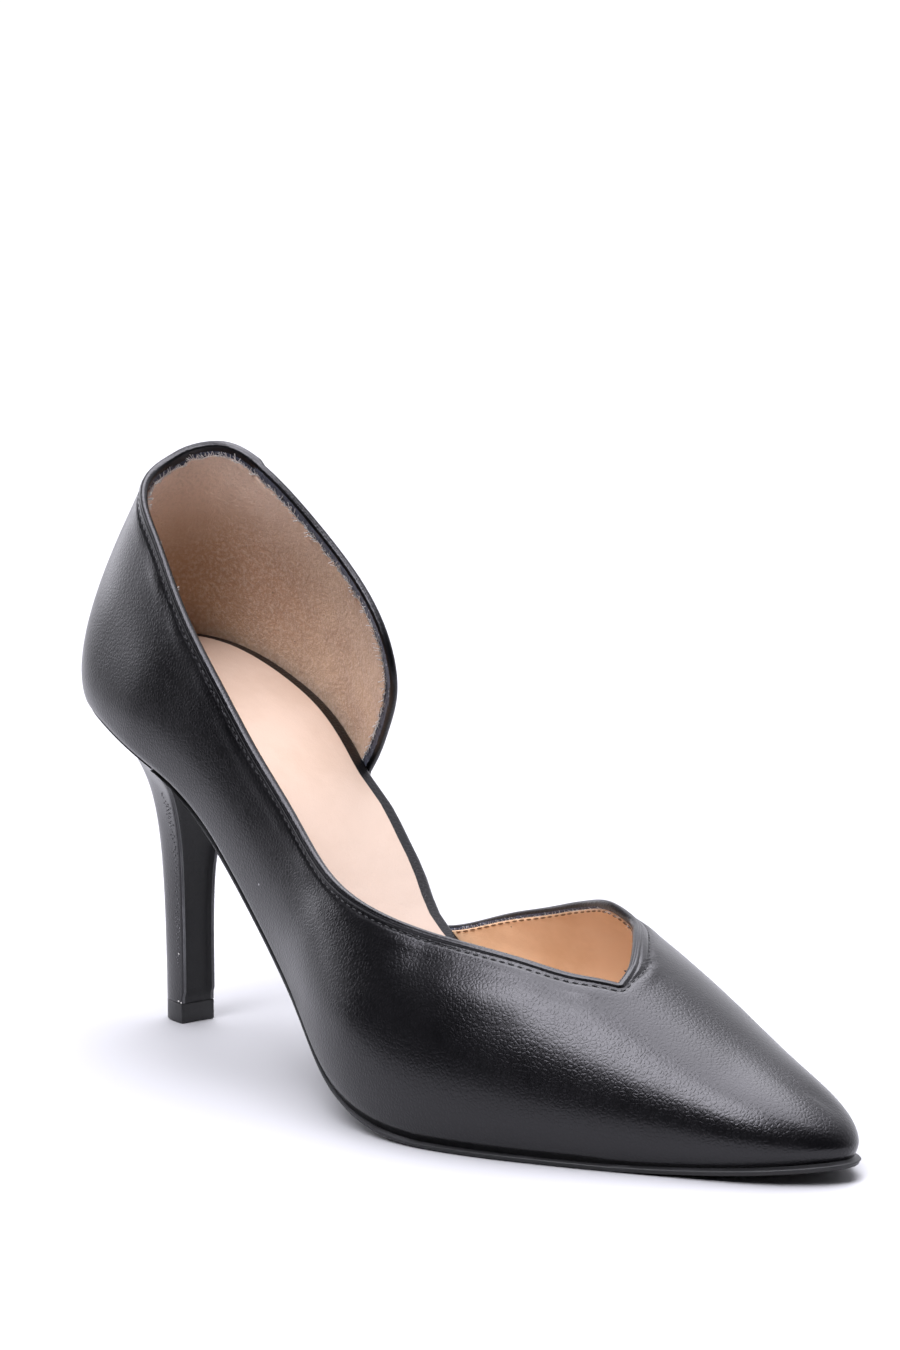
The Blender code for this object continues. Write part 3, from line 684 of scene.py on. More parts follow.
def dentDepth(points):
    total = np.zeros(points.shape[:-1])
    for places, width, depth in dents:
        places = np.array(places)
        t = np.linspace(0.0, len(places) - 1.0, 12)
        turn = np.interp(t, np.arange(len(places)), places[:, 0])
        share = np.interp(t, np.arange(len(places)), places[:, 1])
        best = np.full(points.shape[:-1], 1e9)
        line = skin(turn, share)
        for a, b in zip(line, line[1:]):
            step = b - a
            s = np.clip(((points - a) @ step) / (step @ step), 0.0, 1.0)
            best = np.minimum(best, np.linalg.norm(points - a - s[..., None] * step, axis=-1))
        total += depth * np.exp(-(best / width) ** 2)
    return total


# rows of a wall, closer together towards the cut edge
def wallRows(columns, weight, lowRows, edgeRows, edgeReach):
    fine = np.linspace(0.0, 1.0, 161)
    line = skin(*columnLines(columns, fine))
    steps = np.linalg.norm(np.diff(line, axis=1), axis=2)
    run = np.concatenate([np.zeros((len(columns), 1)), np.cumsum(steps, axis=1)], axis=1)
    total = run[:, -1:]
    reach = np.minimum(edgeReach, 0.45 * total)
    upward = (np.arange(1, edgeRows + 1) / edgeRows)[None, :]
    low = np.linspace(0.0, 1.0, lowRows + 1)[None, :] * (total - reach)
    dense = np.concatenate([low, total - reach * (1.0 - upward) ** 1.45], axis=1)
    even = np.linspace(0.0, 1.0, lowRows + edgeRows + 1)[None, :] * total
    height = weight[:, None] * dense + (1.0 - weight[:, None]) * even
    rows = np.array([np.interp(h, r, fine) for h, r in zip(height, run)])
    turn, share = columnLines(columns, rows)
    return turn, share, height


# outward directions over a wall, level along its foot
def wallNormals(turn, share):
    normal = skinNormal(turn, share)
    level = normal[:, 0].copy()
    level[:, 2] = 0.0
    normal[:, 0] = unit(level)
    return normal


# the two sides of a wall share one direction where they meet in the throat line
def joinRidge(normal, middle, count):
    for i in range(1, count + 1):
        normal[middle - i, -1] = normal[middle + i, -1] = unit(normal[middle + i, -1] + normal[middle - i, -1])


def upperGrid():
    s = upperSet
    columns = wallColumns(s["rimColumns"], s["vampColumns"], s["wingColumns"])
    first = s["rimColumns"]
    last = first + 2 * s["vampColumns"]
    toe = first + s["vampColumns"]
    weight = np.ones(len(columns))
    ridge = throatLine(columns[first:last + 1, 0])
    weight[first:last + 1] = 1.0 - ease(np.linalg.norm(ridge - ridge[0], axis=1), *s["ridgeFade"])
    turn, share, height = wallRows(columns, weight, s["lowRows"], s["edgeRows"], s["edgeReach"])
    base = skin(turn, share)
    normal = wallNormals(turn, share)
    joinRidge(normal, toe, s["vampColumns"])
    gap, along = edgeDistance(base)
    gap[:first + 1, -1] = gap[last:, -1] = 0.0
    return first, toe, last, base, normal, gap, along, height


def buildUpper():
    s = upperSet
    first, toe, last, base, normal, gap, along, height = upperGrid()
    relief, rounding = edgeRelief(gap, along), edgeRounding(gap)
    inset = relief + dentDepth(base)
    tuck = np.clip(1.0 - height / s["tuckHeight"], 0.0, 1.0)
    inset += s["tuckDepth"] * tuck ** 2
    outer = base - normal * inset[..., None]
    outer[..., 2] -= s["toeLap"] * tuck ** 1.5 * ease(base[..., 0], *s["lapSpan"])
    fold = np.clip(-(relief - rounding), 0.0, None) * s["foldInside"]
    inner = base - normal * (lastSet["wall"] - rounding - fold)[..., None]
    columnCount, rowCount = base.shape[:2]
    index = np.arange(columnCount * rowCount).reshape(columnCount, rowCount)
    below = index + columnCount * rowCount
    for i in range(1, s["vampColumns"] + 1):
        index[toe + i, -1] = index[toe - i, -1]
        below[toe + i, -1] = below[toe - i, -1]
    onEdge = np.concatenate([np.arange(first + 1), np.arange(last, columnCount)])
    below[onEdge, -1] = index[onEdge, -1]
    top = rowCount - 1
    flesh = fleshStart(along)
    fineFrom = rowCount - s["innerFine"]
    kept = sorted(set(range(0, fineFrom, s["innerStep"])) | set(range(fineFrom, rowCount)))
    faces, slots = [], []
    for c in range(columnCount - 1):
        for r in range(top):
            faces.append([index[c, r], index[c + 1, r], index[c + 1, r + 1], index[c, r + 1]])
            slots.append(0)
        for a, b in zip(kept, kept[1:]):
            faces.append([below[c, b], below[c + 1, b], below[c + 1, a], below[c, a]])
            slots.append(int(gap[c, a] > flesh[c, a]))
        faces.append([index[c + 1, 0], index[c, 0], below[c, 0], below[c + 1, 0]])
        slots.append(0)
    for a, b in zip(kept, kept[1:]):
        front = [index[0, r] for r in range(a, b + 1)] + [below[0, b], below[0, a]]
        back = [index[-1, r] for r in range(b, a - 1, -1)] + [below[-1, a], below[-1, b]]
        faces += [front, back]
        slots += [0, 0]
    faces = [cleanFace(f) for f in faces]
    slots = [slot for slot, f in zip(slots, faces) if len(f) > 2]
    faces = [f for f in faces if len(f) > 2]
    points = np.concatenate([outer.reshape(-1, 3), inner.reshape(-1, 3)])
    return makePiece("upper_leather", *keepUsed(points, faces), [upperMaterial, collarFlesh], slots)


upperPiece = buildUpper()
print("upper made:", len(upperPiece.data.polygons), "faces")


liningSet = dict(
    counterGap=0.0027, counterRagged=0.00030, raggedWave=0.004, raggedSeed=21, vampGap=0.0011,
    depth=0.00205, lipDepth=0.00165, lipEase=0.00006, counterEnds=(-1.2925, -0.60), overlap=0.012,
    rimColumns=330, vampColumns=46, wingColumns=120, evenRows=31, topRows=(0.97, 0.985, 0.995, 1.0),
    # soft unevenness: depth, wavelength, seed
    counterSwell=(0.00012, 0.013, 8), vampSwell=(0.00014, 0.009, 5), vampSink=0.00010,
)


# where each wall column is a given distance below the cut edge
def trimColumns(columns, gapAt):
    fine = np.linspace(0.0, 1.0, 181)
    gap, along = edgeDistance(skin(*columnLines(columns, fine)))
    clear = gap - gapAt(along)
    found = np.full(len(columns), np.nan)
    for c in range(len(columns)):
        if clear[c, -1] >= 0.0:
            found[c] = 1.0
            continue
        above = np.nonzero(clear[c] >= 0.0)[0]
        if len(above):
            k = above[-1]
            t = clear[c, k] / (clear[c, k] - clear[c, k + 1])
            found[c] = fine[k] + t * (fine[k + 1] - fine[k])
    return found


def liningSheet(name, columns, gapAt, swell, material):
    s = liningSet
    trim = trimColumns(columns, gapAt)
    columns, trim = columns[~np.isnan(trim)], trim[~np.isnan(trim)]
    rows = np.concatenate([np.linspace(0.0, s["topRows"][0], s["evenRows"]), s["topRows"][1:]])
    turn, share = columnLines(columns, trim[:, None] * rows[None, :])
    base = skin(turn, share)
    normal = wallNormals(turn, share)
    depth = s["depth"] + swell(base)
    cut = (trim < 1.0) | (columns[:, 2] < 1.0)
    depth[cut, -1] = s["lipDepth"]
    depth[cut, -2] = s["depth"] - s["lipEase"]
    depth[0, :] = depth[-1, :] = s["lipDepth"]
    count, rowCount = base.shape[:2]
    index = np.arange(count * rowCount).reshape(count, rowCount)
    ridge = np.nonzero(~cut)[0]
    if len(ridge):
        middle, half = ridge[len(ridge) // 2], len(ridge) // 2
        joinRidge(normal, middle, half)
        for i in range(1, half + 1):
            index[middle + i, -1] = index[middle - i, -1]
    points = (base - normal * depth[..., None]).reshape(-1, 3)
    faces = [cleanFace([index[c, r + 1], index[c + 1, r + 1], index[c + 1, r], index[c, r]])
             for c in range(count - 1) for r in range(rowCount - 1)]
    return makePiece(name, *keepUsed(points, [f for f in faces if len(f) > 2]), [material])


def counterTrim(along):
    s = liningSet
    return s["counterGap"] + s["counterRagged"] * waver(along, s["raggedWave"], s["raggedSeed"])


def vampTrim(along):
    return np.full(np.shape(along), liningSet["vampGap"])


def counterSwell(points):
    depth, length, seed = liningSet["counterSwell"]
    return depth * waver(points[..., 0] + 0.7 * points[..., 2], length, seed)


# folds on the inner side of the vamp
def vampSwell(points):
    depth, length, seed = liningSet["vampSwell"]
    folds = waver(points[..., 2] + 0.12 * points[..., 0], length, seed)
    return liningSet["vampSink"] + depth * folds * ease(points[..., 1], 0.004, 0.012)


def buildLinings():
    s = liningSet
    start, stop = s["counterEnds"]
    columns = wallColumns(s["rimColumns"], s["vampColumns"], s["wingColumns"])
    rim = columns[:s["rimColumns"] + 1]
    counter = rim[(rim[:, 0] >= start) & (rim[:, 0] <= stop)]
    rest = columns[columns[:, 0] > stop - s["overlap"]]
    return (liningSheet("counter_lining", counter, counterTrim, counterSwell, counterSuede),
            liningSheet("vamp_lining", rest, vampTrim, vampSwell, vampLiningMaterial))


counterLining, vampLining = buildLinings()
print("linings made")


def insetEdge(turn, inset):
    return bottomEdge(turn) - edgeNormal(turn) * np.asarray(inset)[:, None]


# 1 where the inner side has no wall
def openSide(turn):
    s = lastSet
    pastWing = ease(turn, s["wingEnd"] + s["openFrom"], s["wingEnd"] + s["openFull"])
    return pastWing * (1.0 - ease(turn, s["counterEnd"] - s["openFull"], s["counterEnd"] - s["openFrom"]))


def boardLow(turn):
    inside = lastSet["wall"] + lastSet["boardFit"]
    inside = inside + lastSet["boardToeSetback"] * (1.0 - ease(np.abs(turn), 0.0, lastSet["boardToeEnd"]))
    return insetEdge(turn, inside - (inside + lastSet["boardOverhang"]) * openSide(turn))


def boardHigh(turn):
    wall = skin(turn[:, None], np.linspace(0.0, 0.4, 33)[None, :])
    above = wall[..., 2] - boardTop(wall[..., 0])
    lean = [[np.interp(0.0, a, w[:, k]) - w[0, k] for k in (0, 1)] for a, w in zip(above, wall)]
    return boardLow(turn) + np.array(lean) * (1.0 - openSide(turn))[:, None]


def sockEdge(turn):
    return boardHigh(turn) - edgeNormal(turn) * sheetSet["sockBorder"]


def outsoleHigh(turn):
    return insetEdge(turn, looped(lastRows[:, 8:9], lastRows[:, 8:9], turn)[..., 0])


def outsoleLow(turn):
    rows = lastRows[:, 8:9] + lastRows[:, 9:10]
    return insetEdge(turn, looped(rows, rows, turn)[..., 0])


# sheet between two outlines with rounded edges, from x = start or from its own back end to the toe
def roundedSheet(lowLine, highLine, under, over, foot, shoulder, start=None, count=110, across=14):
    closed = start is None
    lean = np.linspace(0.0, 1.0, count + 1)
    if closed:
        lean = 0.5 - 0.5 * np.cos(math.pi * lean)
        turns = np.concatenate([-1.0 + lean, (1.0 - lean)[-2:0:-1]])
    else:
        lean = np.sin(0.5 * math.pi * lean)
        ahead = np.linspace(0.02, 0.98, 400)
        begin = [np.interp(start, lowLine(side * ahead)[::-1, 0], ahead[::-1]) for side in (-1.0, 1.0)]
        turns = np.concatenate([-begin[0] * (1.0 - lean), (begin[1] * (1.0 - lean))[-2::-1]])
    low, high, out = lowLine(turns), highLine(turns), edgeNormal(turns)
    if not closed:
        for line in (low, high):
            line[0, 0] = line[-1, 0] = start
        out[0], out[-1] = (0.0, -1.0), (0.0, 1.0)
    loops = []
    thick = over(low[:, 0]) - under(low[:, 0])
    fit = np.minimum(1.0, thick / (foot[-1][1] + shoulder[0][1]))      # a thin sheet has a smaller edge
    for inset, rise in foot:
        spot = low - out * inset
        loops.append(np.column_stack([spot, under(spot[:, 0]) + rise * fit]))
    for inset, fall in shoulder:
        spot = high - out * inset
        loops.append(np.column_stack([spot, over(spot[:, 0]) - fall * fit]))
    size = len(turns)
    points = list(np.concatenate(loops))
    faces = []
    for k in range(len(loops) - 1):
        low, high = k * size, (k + 1) * size
        for i in range(size if closed else size - 1):
            n = (i + 1) % size
            faces.append([low + i, low + n, high + n, high + i])
    for k in range(0 if closed else len(loops) - 1):        # straight end against the heel
        low, high = k * size, (k + 1) * size
        faces.append([low, high, high + size - 1, low + size - 1])
    for loop, upward, height in ((0, False, under), (len(loops) - 1, True, over)):
        edge = loops[loop]
        rows = []
        for a in range(1 if closed else 0, count):
            b = (size - a) % size if closed else size - 1 - a
            row = [loop * size + a]
            for t in np.linspace(0.0, 1.0, across + 1)[1:-1]:
                spot = edge[a] + (edge[b] - edge[a]) * t
                points.append(np.array([spot[0], spot[1], height(np.array([spot[0]]))[0]]))
                row.append(len(points) - 1)
            rows.append(row + [loop * size + b])
        cover = [[near[k], far[k], far[k + 1], near[k + 1]] for near, far in zip(rows, rows[1:]) for k in range(across)]
        cover += [[rows[-1][k], loop * size + count, rows[-1][k + 1]] for k in range(across)]       # toe
        if closed:
            cover += [[loop * size, rows[0][k], rows[0][k + 1]] for k in range(across)]             # heel
        faces += cover if upward else [face[::-1] for face in cover]
    return np.array(points), faces


sheetSet = dict(
    boardRadius=0.0011, sockRadius=0.00030, sockProud=0.00025, sockBorder=0.0032, sockSunk=0.0006,
    # in from the outline and up from the floor side, then in and down from the upper side
    outsoleFoot=[(0.0007, 0.0), (0.0004, 0.00008), (0.00016, 0.00022), (0.00003, 0.00042), (0.0, 0.0007)],
    outsoleShoulder=[(0.0, 0.00155), (0.00012, 0.00140), (0.00040, 0.00125), (0.0009, 0.00110), (0.0014, 0.0008),
                     (0.0019, 0.0)],
    outsoleThin=0.0005, thinFrom=0.046, thinTo=0.070,
)


# the wrapped board stands almost level with the sock that is let into it
def boardCrown(x):
    return boardTop(x) + lastSet["gap"] + lastSet["sockSheet"] - sheetSet["sockProud"]


def sockUnder(x):
    return boardCrown(x) - sheetSet["sockSunk"]


def sockTop(x):
    return boardTop(x) + lastSet["gap"] + lastSet["sockSheet"]


def outsoleTop(x):
    return soleHeight(x) - lastSet["gap"]


def outsoleUnder(x):
    thin = sheetSet["outsoleThin"]
    return outsoleTop(x) - thin - (lastSet["outsoleSheet"] - thin) * ease(x, sheetSet["thinFrom"], sheetSet["thinTo"])


def edgeProfile(radius):
    angles = np.linspace(0.0, 0.5 * math.pi, 6)
    curve = [(radius * (1.0 - math.sin(a)), radius * (1.0 - math.cos(a))) for a in angles]
    return curve, curve[::-1]


boardSheet = roundedSheet(boardLow, boardHigh, soleHeight, boardCrown, *edgeProfile(sheetSet["boardRadius"]))
sockSheet = roundedSheet(sockEdge, sockEdge, sockUnder, sockTop, *edgeProfile(sheetSet["sockRadius"]))
outsoleSheet = roundedSheet(outsoleLow, outsoleHigh, outsoleUnder, outsoleTop, sheetSet["outsoleFoot"],
                            sheetSet["outsoleShoulder"], lastSet["breastX"] + lastSet["gap"])
boardPiece = makePiece("insole_board_wrap", *boardSheet, [boardMaterial])
sockPiece = makePiece("sock_sheet", *sockSheet, [sockMaterial])
outsolePiece = makePiece("outsole_sheet", *outsoleSheet, [outsoleMaterial])
print("board, sock and outsole made")


heelSet = dict(
    levels=130, sidePoints=44, breastPoints=6, lip=0.00070, lipWidth=0.0009, recess=0.00035,
    # the lip: share of its width in from the corner, share of its height
    lipShape=((1.0, 0.7), (0.5, 1.0), (0.12, 0.75)), lipFoot=(0.02, 0.05), lipTop=(0.86, 0.97),
    tipClear=0.00003, tipRadius=0.00035, tipHalf=0.0045,
)


def outlineSides(outline):
    line = outline(np.linspace(-1.0, 1.0, 1601))[:-1]
    line = np.roll(line, -int(np.argmin(line[:, 0])), axis=0)
    tip = int(np.argmax(line[:, 0]))
    return line[:tip + 1], np.concatenate([line[tip:], line[:1]])[::-1]


def seatOutline(count):
    outer, inner = outlineSides(lambda turn: insetEdge(turn, np.full(len(turn), lastSet["heelInset"])))
    lean = np.linspace(0.0, 1.0, count + 1)
    xs = lastSet["breastX"] + (outer[0, 0] - lastSet["breastX"]) * np.sin(0.5 * math.pi * lean)
    sideAt = [np.interp(xs, np.maximum.accumulate(side[:, 0]), side[:, 1]) for side in (outer, inner)]
    return xs, sideAt[0], sideAt[1]


seatX, seatOuter, seatInner = seatOutline(heelSet["sidePoints"])


# one level of the heel from the middle of its breast round the outer side, back and inner side
def heelRing(share, lip, recess):
    back, breast, half = spline(heelRows[:, 0], heelRows[:, 1:], share)
    depth = (lastSet["breastX"] - seatX) / (lastSet["breastX"] - seatX[-1])
    middle = 0.5 * (seatOuter + seatInner) * share
    width = (seatInner - seatOuter) / (seatInner[0] - seatOuter[0])
    x = breast - (breast - back) * depth
    low = lastSet["liftHeight"]
    z = low + (soleHeight(seatX) - lastSet["gap"] - low) * share
    edge = heelSet["lipWidth"] * min(1.0, half / 0.006 + 0.2)
    turn = np.linspace(0.0, 1.0, heelSet["breastPoints"] + 1)[1:]
    sides = []
    for sign in (-1.0, 1.0):
        flat = sign * (half - edge * 1.5) * turn
        breastRow = np.column_stack([np.full(len(flat), breast - recess), middle[0] + flat, np.full(len(flat), z[0])])
        lipRow = np.array([(breast + lip * rise, middle[0] + sign * (half - edge * inward), z[0])
                           for inward, rise in heelSet["lipShape"]])
        side = np.column_stack([x, middle + sign * half * width, z])
        sides.append(np.concatenate([breastRow, lipRow, side[:-1]]))
    centre = np.array([[breast - recess, middle[0], z[0]]])
    tail = np.array([[x[-1], middle[-1], z[-1]]])
    return np.concatenate([centre, sides[0], tail, sides[1][::-1]])


def ringSolid(rings):
    count = len(rings[0])
    faces = []
    for level in range(len(rings) - 1):
        low, high = level * count, (level + 1) * count
        for k in range(count):
            n = (k + 1) % count
            faces.append([low + k, high + k, high + n, low + n])
    for base, upward in ((0, False), ((len(rings) - 1) * count, True)):
        for k in range(count // 2):
            corners = [k, k + 1, count - k - 1, (count - k) % count]
            face = [base + v for v in dict.fromkeys(corners)]
            faces.append(face[::-1] if upward else face)
    return np.concatenate(rings), faces


def buildHeel():
    s = heelSet
    rings = []
    for share in np.linspace(0.0, 1.0, s["levels"] + 1):
        fade = float(ease(share, *s["lipFoot"]) * (1.0 - ease(share, *s["lipTop"])))
        rings.append(heelRing(share, s["lip"] * fade, s["recess"] * fade))
    points, faces = ringSolid(rings)
    count = len(rings[0])
    flat = s["breastPoints"]
    slots = []
    for i, face in enumerate(faces):
        around = i % count
        side = i < s["levels"] * count
        onBreast = side and (around <= flat or around >= count - flat - 1)
        onLip = side and (flat < around < flat + 3 or count - flat - 4 < around < count - flat - 1)
        # the faces of the lip take the lighter grey of the painted highlight
        slots.append(1 if onBreast else 2 if onLip else 0)
    return makePiece("heel_block", points, faces, [heelMaterial, breastMaterial, lipHighlightMaterial], slots)


def buildTopPiece():
    ring = heelRing(0.0, 0.0, 0.0)
    middle = ring[:, :2].mean(axis=0)
    height = lastSet["liftHeight"] - heelSet["tipClear"]
    foot, shoulder = edgeProfile(heelSet["tipRadius"])
    levels = []
    for inset, z in foot + [(inset, height - fall) for inset, fall in shoulder]:
        level = ring.copy()
        level[:, :2] = middle + (ring[:, :2] - middle) * (1.0 - inset / heelSet["tipHalf"])
        level[:, 2] = z
        levels.append(level)
    points, faces = ringSolid(levels)
    return makePiece("top_piece_block", points, faces, [tipMaterial])


heelPiece = buildHeel()
topPiece = buildTopPiece()
print("heel and top piece made")


def pathObject(name, points, lean, pieces):
    mesh = bpy.data.meshes.new(name)
    edges = []
    first = 0
    for length in pieces or [len(points)]:
        edges += [(i, i + 1) for i in range(first, first + length - 1)]
        first += length
    mesh.from_pydata((np.asarray(points) - shoeShift).tolist(), edges, [])
    if lean is not None:
        layer = mesh.attributes.new("lean", "FLOAT_VECTOR", "POINT")
        layer.data.foreach_set("vector", np.asarray(lean, np.float32).ravel())
    mesh.update()
    guide = bpy.data.objects.new(name, mesh)
    bpy.context.scene.collection.objects.link(guide)
    return guide


def newTree(name, sizes):
    tree = bpy.data.node_groups.new(name, "GeometryNodeTree")
    tree.interface.new_socket("Path", in_out="INPUT", socket_type="NodeSocketGeometry")
    for label, value in sizes.items():
        kind = "NodeSocketInt" if isinstance(value, int) else "NodeSocketFloat"
        tree.interface.new_socket(label, in_out="INPUT", socket_type=kind)
    tree.interface.new_socket("Result", in_out="OUTPUT", socket_type="NodeSocketGeometry")
    given = tree.nodes.new("NodeGroupInput")
    return tree, given, addNode(tree, "GeometryNodeMeshToCurve", Mesh=given.outputs["Path"])


def pointsAlong(tree, given, curve):
    return addNode(tree, "GeometryNodeCurveToPoints", {"mode": "LENGTH"}, Curve=curve.outputs[0],
                   Length=given.outputs["Pitch"])


def endTree(tree, made, material):
    real = addNode(tree, "GeometryNodeRealizeInstances", Geometry=made.outputs[0])
    dressed = addNode(tree, "GeometryNodeSetMaterial", Geometry=real.outputs["Geometry"], Material=material)
    tree.links.new(dressed.outputs["Geometry"], tree.nodes.new("NodeGroupOutput").inputs[0])
    return tree


# how much stitches differ in size, and how far fibres stray from their lean
threadSet = dict(shortest=0.86, longest=1.10, strayLow=(-0.9, -0.9, -0.7), strayHigh=(0.9, 0.9, 0.7))


# a row of sewn stitches along a path
def stitchTree(sizes, material):
    tree, given, curve = newTree("sewn_row", sizes)
    points = pointsAlong(tree, given, curve)
    bead = addNode(tree, "GeometryNodeMeshIcoSphere", Radius=0.5, Subdivisions=2)
    soft = addNode(tree, "GeometryNodeSetShadeSmooth", Geometry=bead.outputs["Mesh"])
    turn = addNode(tree, "FunctionNodeAlignRotationToVector", {"axis": "X"}, Vector=points.outputs["Tangent"])
    size = addNode(tree, "ShaderNodeCombineXYZ", X=given.outputs["Length"], Y=given.outputs["Width"],
                   Z=given.outputs["Width"])
    spread = addNode(tree, "FunctionNodeRandomValue", {"data_type": "FLOAT"}, Seed=given.outputs["Seed"],
                     i2=threadSet["shortest"], i3=threadSet["longest"])
    uneven = addNode(tree, "ShaderNodeVectorMath", {"operation": "SCALE"}, i0=size.outputs[0], Scale=spread.outputs[1])
    copies = addNode(tree, "GeometryNodeInstanceOnPoints", Points=points.outputs["Points"],
                     Instance=soft.outputs["Geometry"], Rotation=turn.outputs["Rotation"], Scale=uneven.outputs[0])
    return endTree(tree, copies, material)


# loose fibres that lean out of a cut edge
def fibreTree(sizes, material):
    tree, given, curve = newTree("frayed_edge", sizes)
    points = pointsAlong(tree, given, curve)
    lean = addNode(tree, "GeometryNodeInputNamedAttribute", {"data_type": "FLOAT_VECTOR"}, Name="lean")
    stray = addNode(tree, "FunctionNodeRandomValue", {"data_type": "FLOAT_VECTOR"}, Seed=given.outputs["Seed"],
                    i0=threadSet["strayLow"], i1=threadSet["strayHigh"])
    aim = addNode(tree, "ShaderNodeVectorMath", {"operation": "ADD"}, i0=lean.outputs["Attribute"], i1=stray.outputs[0])
    turn = addNode(tree, "FunctionNodeAlignRotationToVector", {"axis": "Z"}, Vector=aim.outputs["Vector"])
    hair = addNode(tree, "GeometryNodeCurveQuadraticBezier", Resolution=5, Start=(0.0, 0.0, -0.2),
                   Middle=(0.16, 0.05, 0.35), End=(-0.12, 0.10, 0.9))
    ring = addNode(tree, "GeometryNodeCurvePrimitiveCircle", Resolution=4, Radius=given.outputs["Thickness"])
    strand = addNode(tree, "GeometryNodeCurveToMesh", Curve=hair.outputs[0], Profile_Curve=ring.outputs["Curve"])
    size = addNode(tree, "FunctionNodeRandomValue", {"data_type": "FLOAT"}, Seed=given.outputs["Seed"],
                   i2=given.outputs["Shortest"], i3=given.outputs["Longest"])
    copies = addNode(tree, "GeometryNodeInstanceOnPoints", Points=points.outputs["Points"],
                     Instance=strand.outputs["Mesh"], Rotation=turn.outputs["Rotation"], Scale=size.outputs[1])
    return endTree(tree, copies, material)


# one round thread along a path
def strayTree(sizes, material):
    tree, given, curve = newTree("stray_thread", sizes)
    ring = addNode(tree, "GeometryNodeCurvePrimitiveCircle", Resolution=8, Radius=given.outputs["Radius"])
    strand = addNode(tree, "GeometryNodeCurveToMesh", Curve=curve.outputs[0], Profile_Curve=ring.outputs["Curve"],
                     Fill_Caps=True)
    soft = addNode(tree, "GeometryNodeSetShadeSmooth", Geometry=strand.outputs["Mesh"])
    return endTree(tree, soft, material)


# runs a tree on a path and keeps the result as a plain mesh
def grow(name, makeTree, sizes, material, points, lean=None, pieces=None):
    guide = pathObject(name + "_path", points, lean, pieces)
    tree = makeTree(sizes, material)
    modifier = guide.modifiers.new("grow", "NODES")
    modifier.node_group = tree
    for item in tree.interface.items_tree:
        if item.in_out == "INPUT" and item.name in sizes:
            modifier[item.identifier] = sizes[item.name]
    graph = bpy.context.evaluated_depsgraph_get()
    mesh = bpy.data.meshes.new_from_object(guide.evaluated_get(graph))
    mesh.name = name
    if not mesh.materials:
        mesh.materials.append(material)
    guide.modifiers.remove(modifier)
    path = guide.data
    bpy.data.objects.remove(guide)
    bpy.data.meshes.remove(path)
    piece = bpy.data.objects.new(name, mesh)
    bpy.context.scene.collection.objects.link(piece)
    return piece


stitchSet = dict(
    collar={"Pitch": 0.00195, "Length": 0.00130, "Width": 0.00040, "Seed": 11}, collarLift=0.00002,
    lining={"Pitch": 0.0021, "Length": 0.00155, "Width": 0.00042, "Seed": 12}, liningGap=0.0014, liningProud=0.00016,
    fray={"Pitch": 0.00022, "Thickness": 0.055, "Shortest": 0.0006, "Longest": 0.0019, "Seed": 13},
    wingFray={"Pitch": 0.00045, "Thickness": 0.040, "Shortest": 0.0003, "Longest": 0.0010, "Seed": 14},
    frayProud=0.0001, frayRange=(-1.2925, -0.62), wingRange=(0.226, 0.57),
    stray={"Radius": 0.00012}, strayAt=0.0062, strayRoot=0.0004, strayLength=0.0013,
    strayWay=((-0.64, -0.77, 0.0), (0.0, 0.0, 1.0)),
    crumbs={"Pitch": 0.0010, "Length": 0.00042, "Width": 0.00032, "Seed": 15},
    crumbShares=(0.14, 0.80), crumbCount=90, crumbSeed=6,
    blobs={"Pitch": 0.0007, "Length": 0.00055, "Width": 0.00040, "Seed": 16},
)


# a line along the wall at a given distance below the cut edge, on the outer or the inner face
def sewnLine(gapAt, depthAt, turnRange=None, counts=(700, 260, 320)):
    columns = wallColumns(*counts)
    trim = trimColumns(columns, gapAt)
    ridge = (columns[:, 2] == 1.0) & (trim >= 1.0)
    keep = ~np.isnan(trim) & ~ridge
    if turnRange is not None:
        keep &= (columns[:, 0] >= turnRange[0]) & (columns[:, 0] <= turnRange[1])
    columns, trim = columns[keep], trim[keep]
    turn = columns[:, 0] + (columns[:, 1] - columns[:, 0]) * trim
    share = columns[:, 2] * trim
    base = skin(turn, share)
    normal = skinNormal(turn, share)
    gap, along = edgeDistance(base)
    return base - normal * depthAt(gap, along, base)[:, None], normal, along


# a frayed edge: fibres lean up out of the cut and towards the inside
def frayed(name, sizes, gapAt, turnRange, upright):
    sunk = liningSet["depth"] - stitchSet["frayProud"]
    line, normal, along = sewnLine(gapAt, lambda g, a, p: np.full(len(p), sunk), turnRange)
    lean = unit(np.cross(normal, unit(np.gradient(line, axis=0)))) * upright - normal * 0.5
    return grow(name, fibreTree, sizes, paleFibre, line, lean), line, normal, along


def buildThreads():
    s = stitchSet
    line, normal, along = sewnLine(stitchGap, lambda g, a, p: edgeRelief(g, a) + dentDepth(p) - s["collarLift"])
    collar = grow("collar_stitches", stitchTree, s["collar"], blackThread, line)
    line, normal, along = sewnLine(lambda a: np.full(np.shape(a), s["liningGap"]),
                                   lambda g, a, p: np.full(len(p), liningSet["depth"] + s["liningProud"]),
                                   s["wingRange"])
    wing = grow("wing_stitches", stitchTree, s["lining"], tanThread, line)
    fray = frayed("counter_fray", s["fray"], counterTrim, s["frayRange"], 1.0)[0]
    wingFray, line, normal, along = frayed("wing_fray", s["wingFray"], vampTrim, s["wingRange"], 0.8)
    near = int(np.argmin(np.abs(along - throatRun - s["strayAt"])))
    k = np.linspace(0.0, 1.0, 24)[:, None]
    inward, rise = np.array(s["strayWay"])
    root = line[near] - normal[near] * s["strayRoot"]
    curl = root + s["strayLength"] * (inward * np.sin(2.4 * k) + rise * k * (1.5 - k))
    return collar, wing, fray, wingFray, grow("stray_thread", strayTree, s["stray"], blackThread, curl)


